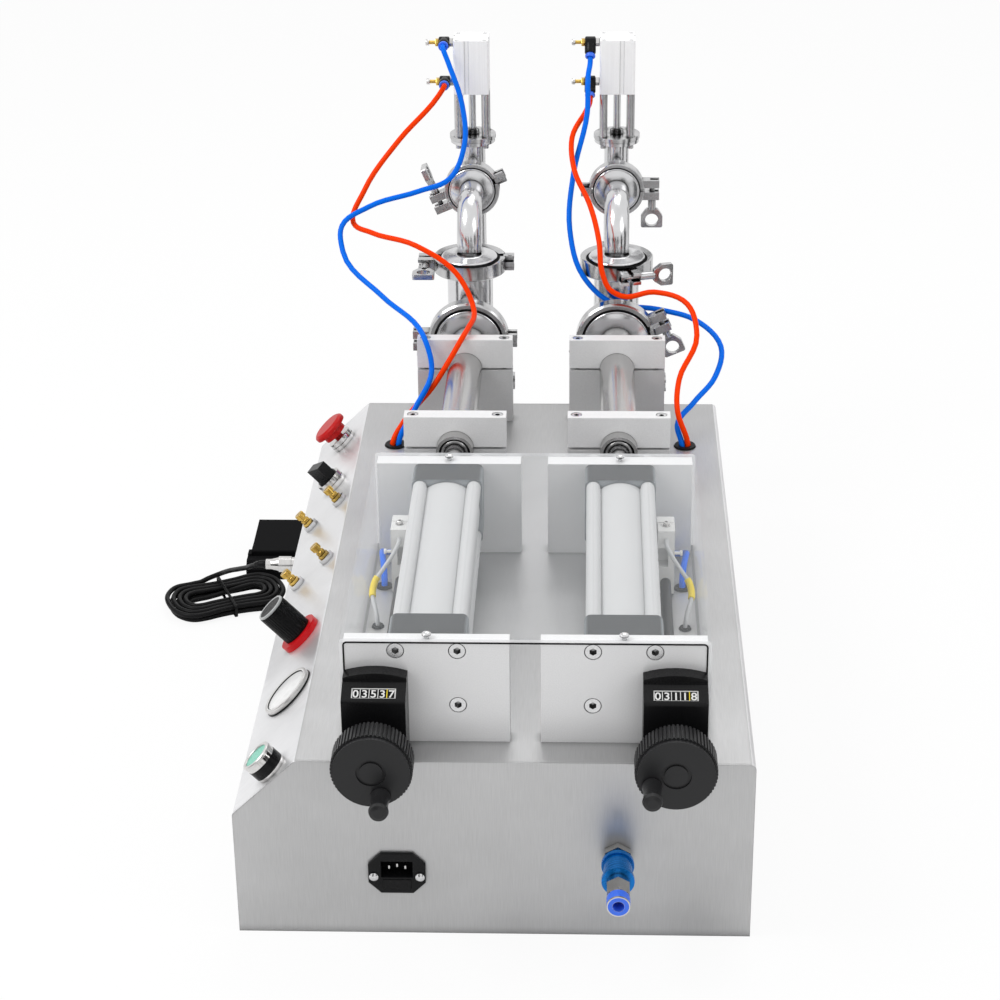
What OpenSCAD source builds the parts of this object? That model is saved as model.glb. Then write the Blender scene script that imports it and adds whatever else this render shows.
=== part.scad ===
// Bench-top liquid filler with two piston heads, pneumatic drives, cut-off nozzles and a foot pedal.
// Millimetres. Z is up, the table is z = 0, the origin is the centre of the cabinet's underside,
// -Y is the side with the handwheels and the supply inlets, +Y the side with the nozzles.

/* [Cabinet] */
// Width of the cabinet
body_w = 445; // [430:1:560]
// Length of the cabinet
body_l = 760; // [740:1:900]
// Height of the deck above the table
body_h = 174; // [165:1:220]
// Thickness of the sheet steel
sheet_t = 2; // [1.5:0.1:3]
// Outside radius of the folds
fold_r = 5; // [4:0.5:8]
// Width of the sloping control panel, seen from above
chamfer_w = 56; // [52:1:70]
// Height of the sloping control panel
chamfer_h = 54; // [50:1:70]
// Outside diameter of the deck grommets
grommet_d = 24; // [22:1:30]

/* [Drive heads] */
// Distance between the two head axes
head_pitch = 166; // [160:1:176]
// Height of the head axis above the deck
axis_rise = 62; // [60:1:70]
// Distance from the cabinet's near face to the near plates
plate_inset = 34; // [32:1:40]
// Width of a mounting plate
plate_w = 140; // [138:1:150]
// Height of a mounting plate
plate_h = 96; // [94:1:104]
// Thickness of the near plates
near_plate_t = 16; // [12:1:20]
// Thickness of the far plates
far_plate_t = 18; // [14:1:20]
// Overall length of a drive cylinder
cyl_len = 341; // [330:1:360]
// Width of the square end caps
cap_w = 67.5; // [66:0.5:72]
// Length of an end cap
cap_len = 36; // [30:1:40]
// Width of the barrel extrusion
barrel_w = 65; // [64:0.5:66]
// Bore of the drive cylinder
bore_d = 50; // [46:1:52]
// Diameter of the piston rod
rod_d = 20; // [16:1:22]
// Spacing of the plate screws, both ways
plate_screw_pitch = 52; // [50:0.5:54]

/* [Metering] */
// Outside diameter of the metering tube
tube_od = 38; // [36:0.5:42]
// Wall of the metering tube
tube_wall = 3; // [2:0.5:4]
// Width of a split block
block_w = 104; // [100:1:112]
// Thickness of the near split block
near_block_t = 18; // [14:1:22]
// Thickness of the far split block
far_block_t = 16; // [12:1:20]
// Free length between the far plate and the near split block
block_gap = 93; // [85:1:100]
// Free length between the two split blocks
block_span = 191; // [180:1:200]
// Slit between the halves of a split block
split_gap = 2.6; // [1:0.1:4]

/* [Pipework] */
// Outside diameter of the large ferrules
ferrule_d = 64; // [64:0.5:66]
// Outside diameter of the small ferrules
small_ferrule_d = 50.5; // [50:0.5:52]
// Outside diameter of the valve body pipe
valve_od = 51; // [50:0.5:52]
// Outside diameter of the outlet tube
outlet_od = 28; // [27:0.5:30]
// Wall of the pipes
pipe_wall = 1.5; // [1:0.25:2]
// Radius of the outlet elbow's centre line
elbow_r = 38; // [34:1:42]
// Height of the valve body's top above the head axis
valve_rise = 72; // [68:1:80]
// Distance from the metering tube's end to the valve body's axis
branch_len = 50; // [48:1:60]
// Distance from the elbow's end to the nozzle axis
nozzle_reach = 35; // [32:1:40]
// Height of the nozzle's outlet above the table
tip_z = 196; // [190:1:230]

/* [Nozzle lift] */
// Width of the compact air cylinder
lift_w = 40; // [38:1:44]
// Height of the compact air cylinder
lift_h = 62; // [56:1:70]
// Height of the open frame under the compact cylinder
frame_h = 51; // [46:1:60]
// Diameter of the two flange discs
disc_d = 53; // [52:1:60]
// Travel of the nozzle's plunger
lift_stroke = 12; // [8:1:16]

/* [Stroke setting] */
// Diameter of the handwheels
wheel_d = 69; // [64:1:72]
// Thickness of the handwheels
wheel_t = 25; // [20:1:28]
// Ribs round a handwheel
wheel_ribs = 60; // [40:1:72]
// Diameter of the lead screws
screw_d = 10; // [8:0.5:12]
// Width of a position counter
counter_w = 54; // [50:1:56]
// Height of a position counter
counter_h = 73; // [70:1:80]
// Depth of a position counter
counter_t = 34; // [31:1:38]
// Travel of the sensor slide
slide_stroke = 40; // [20:1:44]

/* [Guard] */
// Thickness of the clear guard
guard_t = 3; // [2:0.5:4]

/* [Controls] */
// Distance of the controls from the panel's top fold, down the slope
control_s = 30.5; // [29:0.5:33]
// Diameter of the stop button's head
estop_d = 40; // [36:1:42]
// Diameter of the panel collars
collar_d = 29.5; // [28:0.5:31]
// Diameter of the pressure regulator's knob
regulator_d = 30; // [28:1:32]
// Diameter of the pressure gauge
gauge_d = 52; // [48:1:54]

/* [Pedal] */
// Width of the foot pedal
pedal_w = 70; // [66:1:72]
// Length of the foot pedal
pedal_l = 95; // [90:1:97]
// Height of the foot pedal
pedal_h = 29; // [27:1:34]
// Diameter of the pedal's cable
cable_d = 5.5; // [5:0.1:6]
// Diameter of the air tubes
air_d = 6; // [5:0.5:6]

/* [Hidden] */
$fn = 48;

// Shared clearances: an overrun for cuts, a running fit, a loose fit and a gap between touching parts
over = 1;
run = 0.05;
fit = 0.3;

// Cabinet: places that everything on it follows
y_near = -body_l / 2;
y_far = body_l / 2;
mid_x = chamfer_w / 2;
deck_z = body_h;
axis_z = deck_z + axis_rise;
slope = chamfer_h / chamfer_w;
slope_angle = atan(slope);
slope_k = sqrt(1 + slope * slope);
fold_x = -body_w / 2 + chamfer_w;
tray_gap = 0.3;

// Drive heads, along Y
plate_y0 = y_near + plate_inset;
cyl_y0 = plate_y0 + near_plate_t;
cyl_y1 = cyl_y0 + cyl_len;
plate_y1 = cyl_y1 + far_plate_t;
block_y0 = plate_y1 + block_gap;
block_y1 = block_y0 + near_block_t;
block_y2 = block_y1 + block_span;
block_y3 = block_y2 + far_block_t;
tube_proud = 14;
tube_tail = 71;
tube_y0 = block_y0 - tube_proud;
ferrule_y = block_y3 + tube_tail;
plate_gap = 0.3;
cap_r = 6;
plate_screw_d = 8;
plate_head_d = 13.5;
plate_head_h = 8;
plate_sink = plate_head_h + 0.4;
seat_gap = 0.75;
plate_seat_d = plate_head_d + 2 * seat_gap;
thread_len = 12;
piston_t = 22;
seal_t = 18;
bore_r = bore_d / 2;
tube_ir = tube_od / 2 - tube_wall;

// Ferrules and clamps: a flange, its lip and the ring that holds a pair of them
flange_t = 3;
gasket_t = 2;
ring_w = 18;
ring_t = 13.5;
flat_ring_t = 9;
small_ring_w = 16;
small_ring_t = 6.5;
lip_reach = 4;
flange_taper = 1;
ring_gap_angle = 7;
lug_l = 17;
lug_t = 9;
lug_w = 14;
swing_d = 6;
swing_len = 31;
small_swing_len = 35;
long_swing_len = 39;
eye_w = 26;
eye_t = 6;
eye_hole_d = 15;
hinge_d = 9;
big_mid_y = ferrule_y + gasket_t / 2;

// Valve body, elbow and nozzle column
valve_y = ferrule_y + gasket_t + branch_len;
valve_top_z = axis_z + valve_rise;
valve_drop = 72;
valve_bottom_z = axis_z - valve_drop;
reducer_d = 54;
reducer_t = 8;
elbow_z0 = valve_top_z + gasket_t;
elbow_leg = 22;
outlet_z = elbow_z0 + elbow_leg + elbow_r;
elbow_tail = 40;
weld = 1;
seam = 0.2;
small_joint_y = valve_y + elbow_r + elbow_tail;
nozzle_y = small_joint_y + gasket_t + nozzle_reach;
disc_t = 4.5;
neck_rise = 32;
disc_z0 = outlet_z + outlet_od / 2 + neck_rise;
lower_disc_d = disc_d - 2;
frame_z0 = disc_z0 + 2 * disc_t;
lift_z0 = frame_z0 + frame_h;
lift_z1 = lift_z0 + lift_h;
post_d = 9;
post_pitch = 31;
plunger_d = 8;
plunger_head_t = 10;
lift_bore_d = 32;
lift_wall = 8;
lower_port_inset = 10;
upper_port_inset = 6.5;
ball_d = 26;
seat_t = 5;
seat_d = 20;

// Inlet barb under each valve body
barb_d = 25;
barb_len = 56;
barb_count = 4;
barb_rise = 1.5;

// Wheels and counters, measured outwards from a head's axis
wheel_out = 43;
wheel_z = deck_z + 13;
counter_lift = 0.6;
counter_y0 = plate_y0 - counter_t;
hub_len = 14;
hub_d = 24;
wheel_y1 = counter_y0 - hub_len;
wheel_y0 = wheel_y1 - wheel_t;
face_share = 0.94;
dish_d = 25.4;
dish_t = 1.5;
rib_depth = 1.2;
grip_d = 17;
grip_len = 28;
grip_pin_d = 6;
grip_pin_len = 24;
left_grip_at = [7.6, -21.6];
right_grip_at = [-20.1, -9.5];
slide_room = 17;
slide_y1 = cyl_y1 - slide_stroke - slide_room;
slide_l = 30;
slide_w = 16;
slide_h = 66;
sensor_t = 12;

// Guard
guard_hw = head_pitch / 2 + plate_w / 2 + plate_gap + guard_t;
guard_z1 = deck_z + plate_h + plate_gap + guard_t;
guard_r = 4;
pan_d = 8;
pan_h = 3;
pan_shank_d = 4;
pan_shank_len = 10;

// Controls on the sloping panel: place along Y, and height of the parts above the panel
estop_y = 319;
estop_h = 28.5;
selector_y = 208;
selector_h = 30;
start_y = y_near + 20;
start_h = 19.7;
throttle_y = [145, 13.5];
throttle_s = [14.5, 57];
throttle_h = 20.5;
regulator_y = -123;
regulator_h = 41.6;
gauge_y = -231;
gauge_h = 5.2;
skirt_d = 27;
estop_collar_h = 10;
estop_travel = 4;
skirt_z = estop_collar_h + estop_travel + fit;
head_t = 7;
stem_d = 10;
stem_len = 26;
selector_collar_h = 12;
lever_w = 11;
lever_l = 27;
cap_d = 23;
cap_sink = 0.8;
nut_w = 14;
nut_h = 5;
needle_d = 7;
lock_d = 10;
lock_h = 3;
lock_z = 9;
slot_w = 1.2;
slot_t = 1.5;
red_ring_d = 42;
red_ring_h = 6;
regulator_body_d = 27;
regulator_body_l = 48;
knob_ribs = 36;
knob_rib_depth = 0.6;
bezel_w = 3;
dial_z = 2.4;
needle_len = 17;
needle_w = 1.4;
needle_t = 0.8;
gauge_body_d = 44;
gauge_body_l = 26;

// Supply inlets on the near panel
inlet_x = -82.6;
inlet_z = 63.3;
inlet_w = 49.4;
inlet_h = 39.6;
inlet_flat = 27.8;
inlet_t = 3;
inlet_screw_pitch = 40;
inlet_screw_drop = 2.8;
socket_w = 27.5;
socket_h = 16.4;
socket_rise = 4.2;
socket_depth = 16;
socket_wall = 2;
pin_w = 2;
pin_h = 4;
pin_l = 11;
pin_pitch = 7;
pin_drop = 2;
fuse_w = 24.4;
fuse_h = 9.3;
fuse_drop = 10.6;
fuse_l = 18;
fuse_lip = 1.5;
air_x = 107;
air_z = 83.5;
air_nut_w = 22;
air_nut_l = 8;
air_body_d = 18;
sleeve_y = 14;
sleeve_d = 28;
sleeve_waist_d = 24.5;
sleeve_l = 27;
sleeve_rim = 4;
air_hex_w = 19;
air_hex_l = 16;
ring_d = 19.6;
ring_l = 12;
air_total = 77;
air_bore_d = 10;
air_bore_l = 24;

// Pneumatics inside and the lines under the guard
manifold_l = 150;
manifold_w = 46;
manifold_h = 24;
coil_w = 22;
coil_l = 40;
coil_h = 34;
coil_pitch = 30;
manifold_x = 60;
manifold_y = 120;
line_d = 4;
deck_bush_d = 16;
deck_bush_at = [142.5, cyl_y1 - 74];
lead_bush_d = 12;
lead_bush_at = [142.5, cyl_y1 - 154];

// Pedal, its plug and the cable's hank
pedal_x1 = -body_w / 2 - 9.5;
pedal_y0 = 283;
tread_t = 7;
tread_front = 21;
tread_gap = 8;
tread_edge = 2;
tread_dip = 4;
hinge_pin_d = 4;
plug_y = 165;
plug_z = 80;
plug_l = 39;
plug_d = 17;
plug_ring_d = 20;
plug_tail_d = 11;
tie_t = 1;
tie_w = 3;
tie_r = 2;
hank_at = [-316, 228];
hank_turn = 23;
hank_a = 31;
hank_side_gap = 0.9;
hank_layer_gap = 0.7;
hank_r = 33;
hank_pitch = cable_d + hank_side_gap;
hank_layer = cable_d + hank_layer_gap;
hank_loops = 7;
hank_bulge_share = 0.4;
hank_rings = 24;
hank_back = 3.5;
hank_z = tie_t + fit + cable_d / 2;

// Unit vector, planar cross product and planar turn
function unit(v) = v / norm(v);
function cross2(a, b) = a.x * b.y - a.y * b.x;
function turned(a, v) = [v.x * cos(a) - v.y * sin(a), v.x * sin(a) + v.y * cos(a)];

// Points of a corner at p, between neighbours a and b, rounded to radius r
function corner(a, p, b, r, n = 6) = r == 0 ? [p] :
    let (u = unit(a - p), w = unit(b - p), half = acos(u * w) / 2,
         c = p + unit(u + w) * r / sin(half), s = p + u * r / tan(half) - c,
         sweep = (180 - 2 * half) * sign(cross2(p - a, b - p)))
    [for (k = [0:n]) c + turned(sweep * k / n, s)];

// A polygon with each corner rounded to its own radius
function rounded(pts, rs, n = 6) = let (m = len(pts))
    [for (i = [0:m - 1]) each corner(pts[(i + m - 1) % m], pts[i], pts[(i + 1) % m], rs[i], n)];

// Section of the cabinet, inset by i, from height z0 up, as seen from the near side
function cabinet_section(i, z0, r) = rounded(
    [[-body_w / 2 + i, z0], [body_w / 2 - i, z0], [body_w / 2 - i, body_h - i],
     [-body_w / 2 + (chamfer_w * slope + i * (slope_k - 1)) / slope, body_h - i],
     [-body_w / 2 + i, body_h - chamfer_h + slope * i - slope_k * i]],
    [0, 0, r, r, r]);

// Regular n-gon outline of width w across flats
function hex_points(w, n = 6) = [for (k = [0:n - 1])
    w / 2 / cos(180 / n) * [cos(360 * (k + 0.5) / n), sin(360 * (k + 0.5) / n)]];

// Gear-like outline for ribbed rims: n ribs, outer radius r, depth d
function ribbed(r, n, d) = [for (k = [0:n - 1]) for (q = [[0, 0], [0.5, 0], [0.6, 1], [0.9, 1]])
    let (a = 360 * (k + q[0]) / n, rr = r - d * q[1]) [rr * cos(a), rr * sin(a)]];

// A tube of diameter d swept along the points q; its frame is carried along without twist
function directions(q) = [for (i = [0:len(q) - 1])
    unit(q[min(i + 1, len(q) - 1)] - q[max(i - 1, 0)])];
function carried(v, t) = unit(v - t * (v * t));
function normals(t) = [for (i = 0, v = carried(abs(t[0].z) < 0.9 ? [0, 0, 1] : [1, 0, 0], t[0]);
    i < len(t); i = i + 1, v = i < len(t) ? carried(v, t[i]) : v) v];
module swept(q, d, sides) {
    t = directions(q);
    v = normals(t);
    m = len(q);
    points = [for (i = [0:m - 1]) for (j = [0:sides - 1]) let (a = 360 * j / sides)
        q[i] + (v[i] * cos(a) + cross(t[i], v[i]) * sin(a)) * d / 2];
    walls = [for (i = [0:m - 2]) for (j = [0:sides - 1])
        let (a = i * sides + j, b = i * sides + (j + 1) % sides)
        each [[a, a + sides, b + sides], [a, b + sides, b]]];
    ends = [[for (j = [0:sides - 1]) j], [for (j = [0:sides - 1]) m * sides - 1 - j]];
    polyhedron(points = points, faces = concat(walls, ends));
}

// Placement: along Y from y, on the sloping panel, and on the two heads, mirrored about the middle
module along_y(y) { translate([0, y, 0]) rotate([-90, 0, 0]) children(); }
module on_panel(y, s) {
    translate([fold_x, y, deck_z]) rotate([0, -slope_angle, 0]) translate([-s, 0, 0]) children();
}
module head(side) {
    translate([mid_x + side * head_pitch / 2, 0, 0]) mirror([side < 0 ? 1 : 0, 0, 0]) children();
}
module each_head() { for (side = [-1, 1]) head(side) children(); }

// Round bar or ring along Z, and along Y on the head's axis
module ring(r1, r0, h) {
    difference() {
        cylinder(r = r1, h = h);
        translate([0, 0, -over]) cylinder(r = r0, h = h + 2 * over);
    }
}
module axial(y0, y1, r) {
    translate([0, y0, axis_z]) rotate([-90, 0, 0]) cylinder(r = r, h = y1 - y0);
}

// Square-patterned places around a head's axis, in X and Z
module plate_screw_places() {
    for (sx = [-1, 1], sz = [-1, 1])
        translate([sx * plate_screw_pitch / 2, 0, axis_z + sz * plate_screw_pitch / 2]) children();
}

// Cabinet
module cabinet_wrap() color("silver") difference() {
    rotate([90, 0, 0]) translate([0, 0, -body_l / 2 + sheet_t]) linear_extrude(body_l - 2 * sheet_t)
        difference() {
            polygon(cabinet_section(0, 0, fold_r));
            polygon(cabinet_section(sheet_t, -over, fold_r - sheet_t));
        }
    each_head() {
        translate([tube_grommet_out, tube_grommet_y, deck_z - 2 * sheet_t])
            cylinder(d = grommet_d - grommet_lip, h = 3 * sheet_t);
        translate([deck_bush_at.x - head_pitch / 2, deck_bush_at.y, deck_z - 2 * sheet_t])
            cylinder(d = deck_bush_d - grommet_lip, h = 3 * sheet_t);
        translate([lead_bush_at.x - head_pitch / 2, lead_bush_at.y, deck_z - 2 * sheet_t])
            cylinder(d = lead_bush_d - grommet_lip, h = 3 * sheet_t);
    }
    panel_hole(estop_y, control_s, panel_hole_d);
    panel_hole(selector_y, control_s, panel_hole_d);
    panel_hole(start_y, control_s, panel_hole_d);
    panel_hole(regulator_y, control_s, regulator_body_d + 2 * fit);
    panel_hole(gauge_y, control_s, gauge_body_d + 2 * fit);
    for (y = throttle_y, s = throttle_s) panel_hole(y, s, needle_d + 2 * fit);
    translate([-body_w / 2 - over, plug_y, plug_z]) rotate([0, 90, 0])
        cylinder(d = plug_tail_d, h = sheet_t + 2 * over);
}
grommet_lip = 4;
panel_hole_d = 22.4;
tube_grommet_out = 73;
tube_grommet_y = 266;
module panel_hole(y, s, d) {
    on_panel(y, s) translate([0, 0, -2 * sheet_t]) cylinder(d = d, h = 3 * sheet_t);
}

module chassis_tray() color("silver") difference() {
    union() {
        translate([-body_w / 2 + sheet_t + tray_gap, y_near + sheet_t / 2, 0])
            cube([body_w - 2 * sheet_t - 2 * tray_gap, body_l - sheet_t, sheet_t]);
        for (y = [y_near, y_far - sheet_t]) translate([0, y + sheet_t, 0]) rotate([90, 0, 0])
            linear_extrude(sheet_t) polygon(cabinet_section(0, 0, fold_r));
    }
    translate([inlet_x - socket_box_w / 2, y_near - over, inlet_z - socket_box_h / 2])
        cube([socket_box_w, sheet_t + 2 * over, socket_box_h]);
    for (s = [-1, 1]) translate([inlet_x + s * inlet_screw_pitch / 2, 0, inlet_z - inlet_screw_drop])
        along_y(y_near - over) cylinder(d = pan_shank_d, h = sheet_t + 2 * over);
    translate([air_x, 0, air_z])
        along_y(y_near - over) cylinder(d = air_hole_d, h = sheet_t + 2 * over);
}
socket_box_w = socket_w + 2 * socket_wall;
socket_box_h = 34;
air_hole_d = 14;

module deck_grommets() color("black") each_head() {
    translate([tube_grommet_out, tube_grommet_y, deck_z]) grommet(grommet_d, 2 * air_d + bush_slack);
    translate([deck_bush_at.x - head_pitch / 2, deck_bush_at.y, deck_z])
        grommet(deck_bush_d, air_d + bush_slack);
    translate([lead_bush_at.x - head_pitch / 2, lead_bush_at.y, deck_z])
        grommet(lead_bush_d, line_d + bush_slack);
}
bush_slack = 1;
grommet_t = 2;
module grommet(d, bore) rotate_extrude() polygon(
    [[bore / 2, -sheet_t - grommet_t], [d / 2, -sheet_t - grommet_t], [d / 2, -sheet_t],
     [(d - grommet_lip) / 2, -sheet_t], [(d - grommet_lip) / 2, 0], [d / 2, 0],
     [d / 2 - grommet_t / 2, grommet_t], [bore / 2, grommet_t]]);

// Controls
module switch_collars() color("gainsboro") {
    on_panel(estop_y, control_s) difference() {
        ringed_collar(estop_collar_h);
        stem_bore(estop_collar_h);
    }
    on_panel(selector_y, control_s) difference() {
        ringed_collar(selector_collar_h);
        stem_bore(selector_collar_h);
    }
    on_panel(start_y, control_s) difference() {
        union() {
            cylinder(d = collar_d, h = start_h);
            translate([0, 0, -barrel_l]) cylinder(d = panel_hole_d - fit, h = barrel_l + over);
        }
        stem_bore(start_h);
        translate([0, 0, start_h - start_well]) cylinder(d = cap_d + 2 * fit, h = start_well + over);
    }
}
collar_groove = 1;
module ringed_collar(h) {
    for (z = [0, (h + collar_groove) / 2]) translate([0, 0, z])
        cylinder(d = collar_d, h = (h - collar_groove) / 2);
    cylinder(d = collar_d - 2 * collar_groove, h = h);
    translate([0, 0, -barrel_l]) cylinder(d = panel_hole_d - fit, h = barrel_l + over);
}
barrel_l = 22;
start_well = 8;
module stem_bore(h) {
    translate([0, 0, -barrel_l - over]) cylinder(d = stem_d + 2 * run, h = h + barrel_l + 2 * over);
}

module estop_head() color("red") on_panel(estop_y, control_s) {
    translate([0, 0, skirt_z]) cylinder(d = skirt_d, h = estop_h - head_t - skirt_z);
    translate([0, 0, estop_h - head_t]) rotate_extrude() polygon(rounded(
        [for (p = head_shares) [p.x * estop_d / 2, p.y * head_t]], head_edges, 3));
    translate([0, 0, estop_h - head_t - stem_len])
        cylinder(d = stem_d, h = stem_len);
}
head_shares = [[0, 0], [1, 0], [1, 0.65], [0.84, 1], [0, 1]];
head_edges = [0, 1, 2, 3, 0];
module selector_knob() color("black") on_panel(selector_y, control_s) {
    translate([0, 0, selector_collar_h + fit]) {
        cylinder(d = cap_d, h = lever_disc_t);
        rotate([0, 0, 45]) difference() {
            translate([-lever_w / 2, -lever_l / 2, 0])
                cube([lever_w, lever_l, selector_h - selector_collar_h - fit]);
            for (s = [-1, 1]) translate([s * lever_w * 0.75, 0, lever_disc_t + lever_w / 2])
                rotate([0, s * lever_flare, 0]) translate([-lever_w / 4, -lever_l, 0])
                    cube([lever_w / 2, 2 * lever_l, selector_h]);
        }
    }
    translate([0, 0, -barrel_l + over]) cylinder(d = stem_d, h = selector_collar_h + barrel_l);
}
lever_flare = 8;
lever_disc_t = 2;
module start_button() color("mediumaquamarine") on_panel(start_y, control_s) {
    translate([0, 0, start_h - cap_sink - cap_t]) cylinder(d = cap_d, h = cap_t);
    translate([0, 0, -barrel_l + over])
        cylinder(d = stem_d, h = start_h - cap_sink - cap_t + barrel_l);
}
cap_t = 3.5;

module throttle_nuts() color("silver") for (y = throttle_y, s = throttle_s) on_panel(y, s)
    difference() {
        linear_extrude(nut_h) polygon(hex_points(nut_w));
        translate([0, 0, -over]) cylinder(d = needle_d + 2 * run, h = nut_h + 2 * over);
    }
module throttle_screw(i, j) color("goldenrod") on_panel(throttle_y[i], throttle_s[j]) difference() {
    union() {
        translate([0, 0, -throttle_sink]) cylinder(d = needle_d, h = throttle_h + throttle_sink);
        translate([0, 0, nut_h + fit]) linear_extrude(lock_h) polygon(hex_points(lock_d));
        translate([0, 0, throttle_h - lock_z + lock_h])
            cylinder(d = needle_d + 2 * slot_w, h = lock_z - lock_h);
    }
    translate([-needle_d, -slot_w / 2, throttle_h - slot_t])
        cube([2 * needle_d, slot_w, slot_t + over]);
}
throttle_sink = 14;
module throttle_screw_1() throttle_screw(0, 0);
module throttle_screw_2() throttle_screw(0, 1);
module throttle_screw_3() throttle_screw(1, 0);
module throttle_screw_4() throttle_screw(1, 1);

module regulator_collar() color("firebrick") on_panel(regulator_y, control_s) difference() {
    union() {
        cylinder(d = red_ring_d, h = red_ring_h);
        translate([0, 0, -regulator_body_l])
            cylinder(d = regulator_body_d, h = regulator_body_l + over);
    }
    translate([0, 0, -regulator_stem])
        cylinder(d = stem_d + 2 * run, h = regulator_stem + 2 * red_ring_h);
}
regulator_stem = 12;
module regulator_knob() color("black") on_panel(regulator_y, control_s) {
    translate([0, 0, red_ring_h + fit])
        linear_extrude(regulator_h - red_ring_h - fit - regulator_cap_h)
        polygon(ribbed(regulator_d / 2, knob_ribs, knob_rib_depth));
    translate([0, 0, regulator_h - regulator_cap_h])
        cylinder(d = regulator_d - regulator_cap_h, h = regulator_cap_h);
    translate([0, 0, -regulator_stem + over]) cylinder(d = stem_d, h = regulator_stem + red_ring_h);
}
regulator_cap_h = 2;

module gauge_case() color("white") on_panel(gauge_y, control_s) difference() {
    union() {
        cylinder(d = gauge_d, h = gauge_h);
        translate([0, 0, -gauge_body_l]) cylinder(d = gauge_body_d, h = gauge_body_l + over);
        translate([0, 0, -gauge_body_l - gauge_stem_l]) cylinder(d = stem_d, h = gauge_stem_l + over);
    }
    translate([0, 0, dial_z]) cylinder(d = gauge_d - 2 * bezel_w, h = gauge_h);
    translate([0, 0, dial_z - gauge_pivot_l])
        cylinder(d = gauge_pivot_d + 2 * run, h = gauge_pivot_l + over);
}
gauge_stem_l = 12;
gauge_pivot_d = 2;
gauge_pivot_l = 3;
module gauge_needle() color("dimgray") on_panel(gauge_y, control_s) {
    translate([0, 0, dial_z + fit]) rotate([0, 0, gauge_zero_angle]) {
        cylinder(d = needle_hub_d, h = needle_t);
        linear_extrude(needle_t) polygon([[-needle_tail, -needle_w / 2], [needle_len, -needle_w / 6],
            [needle_len, needle_w / 6], [-needle_tail, needle_w / 2]]);
    }
    translate([0, 0, dial_z + over - gauge_pivot_l]) cylinder(d = gauge_pivot_d, h = gauge_pivot_l);
}
needle_hub_d = 5;
needle_tail = 6;
gauge_zero_angle = 45;

// Supply inlets
inlet_corner = (inlet_w - inlet_flat) / 2;
module inlet_flange() polygon([for (m = [[1, 1], [-1, 1], [-1, -1], [1, -1]])
    let (w = inlet_w / 2, h = inlet_h / 2, c = inlet_corner, near = [m.x * (w - c), m.y * h],
         far = [m.x * w, m.y * (h - c)])
    each m.x * m.y > 0 ? [far, near] : [near, far]]);
module on_inlet() { translate([inlet_x, y_near, inlet_z]) rotate([90, 0, 0]) children(); }
module power_inlet() color("black") {
    on_inlet() difference() {
        union() {
            linear_extrude(inlet_t) inlet_flange();
            translate([-socket_box_w / 2 + fit, -socket_box_h / 2 + fit, -inlet_body_l])
                cube([socket_box_w - 2 * fit, socket_box_h - 2 * fit, inlet_body_l + over]);
        }
        translate([-socket_w / 2, socket_rise - socket_h / 2, inlet_t - socket_depth])
            cube([socket_w, socket_h, socket_depth + over]);
        translate([-fuse_w / 2, -fuse_drop - fuse_h / 2, inlet_t - fuse_l - over])
            cube([fuse_w, fuse_h, fuse_l + 3 * over]);
        for (s = [-1, 1]) translate([s * inlet_screw_pitch / 2, -inlet_screw_drop, -over])
            cylinder(d = pan_shank_d, h = inlet_t + 2 * over);
    }
    on_inlet() for (p = [-1, 0, 1])
        translate([p * pin_pitch - pin_w / 2, socket_rise - pin_drop * (abs(p) - 0.5) - pin_h / 2,
            inlet_t - socket_depth]) cube([pin_w, pin_h, pin_l]);
}
inlet_body_l = 22;
module fuse_drawer() color("dimgray") on_inlet() {
    translate([-fuse_w / 2 + fit / 2, -fuse_drop - fuse_h / 2 + fit / 2, inlet_t - fuse_l])
        cube([fuse_w - fit, fuse_h - fit, fuse_l + fuse_lip / 3]);
}

module on_air() { translate([air_x, y_near, air_z]) rotate([90, 0, 0]) children(); }
module air_fitting() color("silver") on_air() difference() {
    union() {
        linear_extrude(air_nut_l) polygon(hex_points(air_nut_w));
        translate([0, 0, -air_tail_l]) cylinder(d = air_hole_d - fit, h = air_tail_l + over);
        cylinder(d = air_body_d, h = air_total - ring_l - air_hex_l + over);
        translate([0, 0, air_total - ring_l - air_hex_l])
            linear_extrude(air_hex_l) polygon(hex_points(air_hex_w));
        translate([0, 0, air_total - ring_l - over]) cylinder(d = ring_d, h = ring_l + over);
    }
    translate([0, 0, air_total - air_bore_l]) cylinder(d = air_bore_d, h = air_bore_l + over);
}
air_tail_l = 16;
module valve_sleeve() color("dodgerblue") on_air() translate([0, 0, sleeve_y]) difference() {
    union() {
        cylinder(d = sleeve_waist_d, h = sleeve_l);
        for (z = [0, sleeve_l - sleeve_rim]) translate([0, 0, z]) cylinder(d = sleeve_d, h = sleeve_rim);
    }
    translate([0, 0, -over]) cylinder(d = air_body_d + 2 * run, h = sleeve_l + 2 * over);
}

// Guard
module guard_cover() color([0.85, 0.9, 0.92, 0.35]) difference() {
    translate([mid_x, plate_y0, 0]) rotate([90, 0, 0]) translate([0, 0, -(plate_y1 - plate_y0)])
        linear_extrude(plate_y1 - plate_y0) difference() {
            polygon(rounded([[-guard_hw, deck_z + fit], [guard_hw, deck_z + fit], [guard_hw, guard_z1],
                [-guard_hw, guard_z1]], [0, 0, guard_r, guard_r]));
            polygon(rounded([[-guard_hw + guard_t, deck_z - over], [guard_hw - guard_t, deck_z - over],
                [guard_hw - guard_t, guard_z1 - guard_t], [-guard_hw + guard_t, guard_z1 - guard_t]],
                [0, 0, guard_r - guard_t, guard_r - guard_t]));
        }
    guard_screw_places() translate([0, 0, -guard_t - over])
        cylinder(d = pan_shank_d + 2 * fit, h = guard_t + 2 * over);
}
module guard_screw_places() each_head()
    for (y = [plate_y0 + near_plate_t / 2, plate_y1 - far_plate_t / 2])
        translate([0, y, guard_z1]) children();

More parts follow.
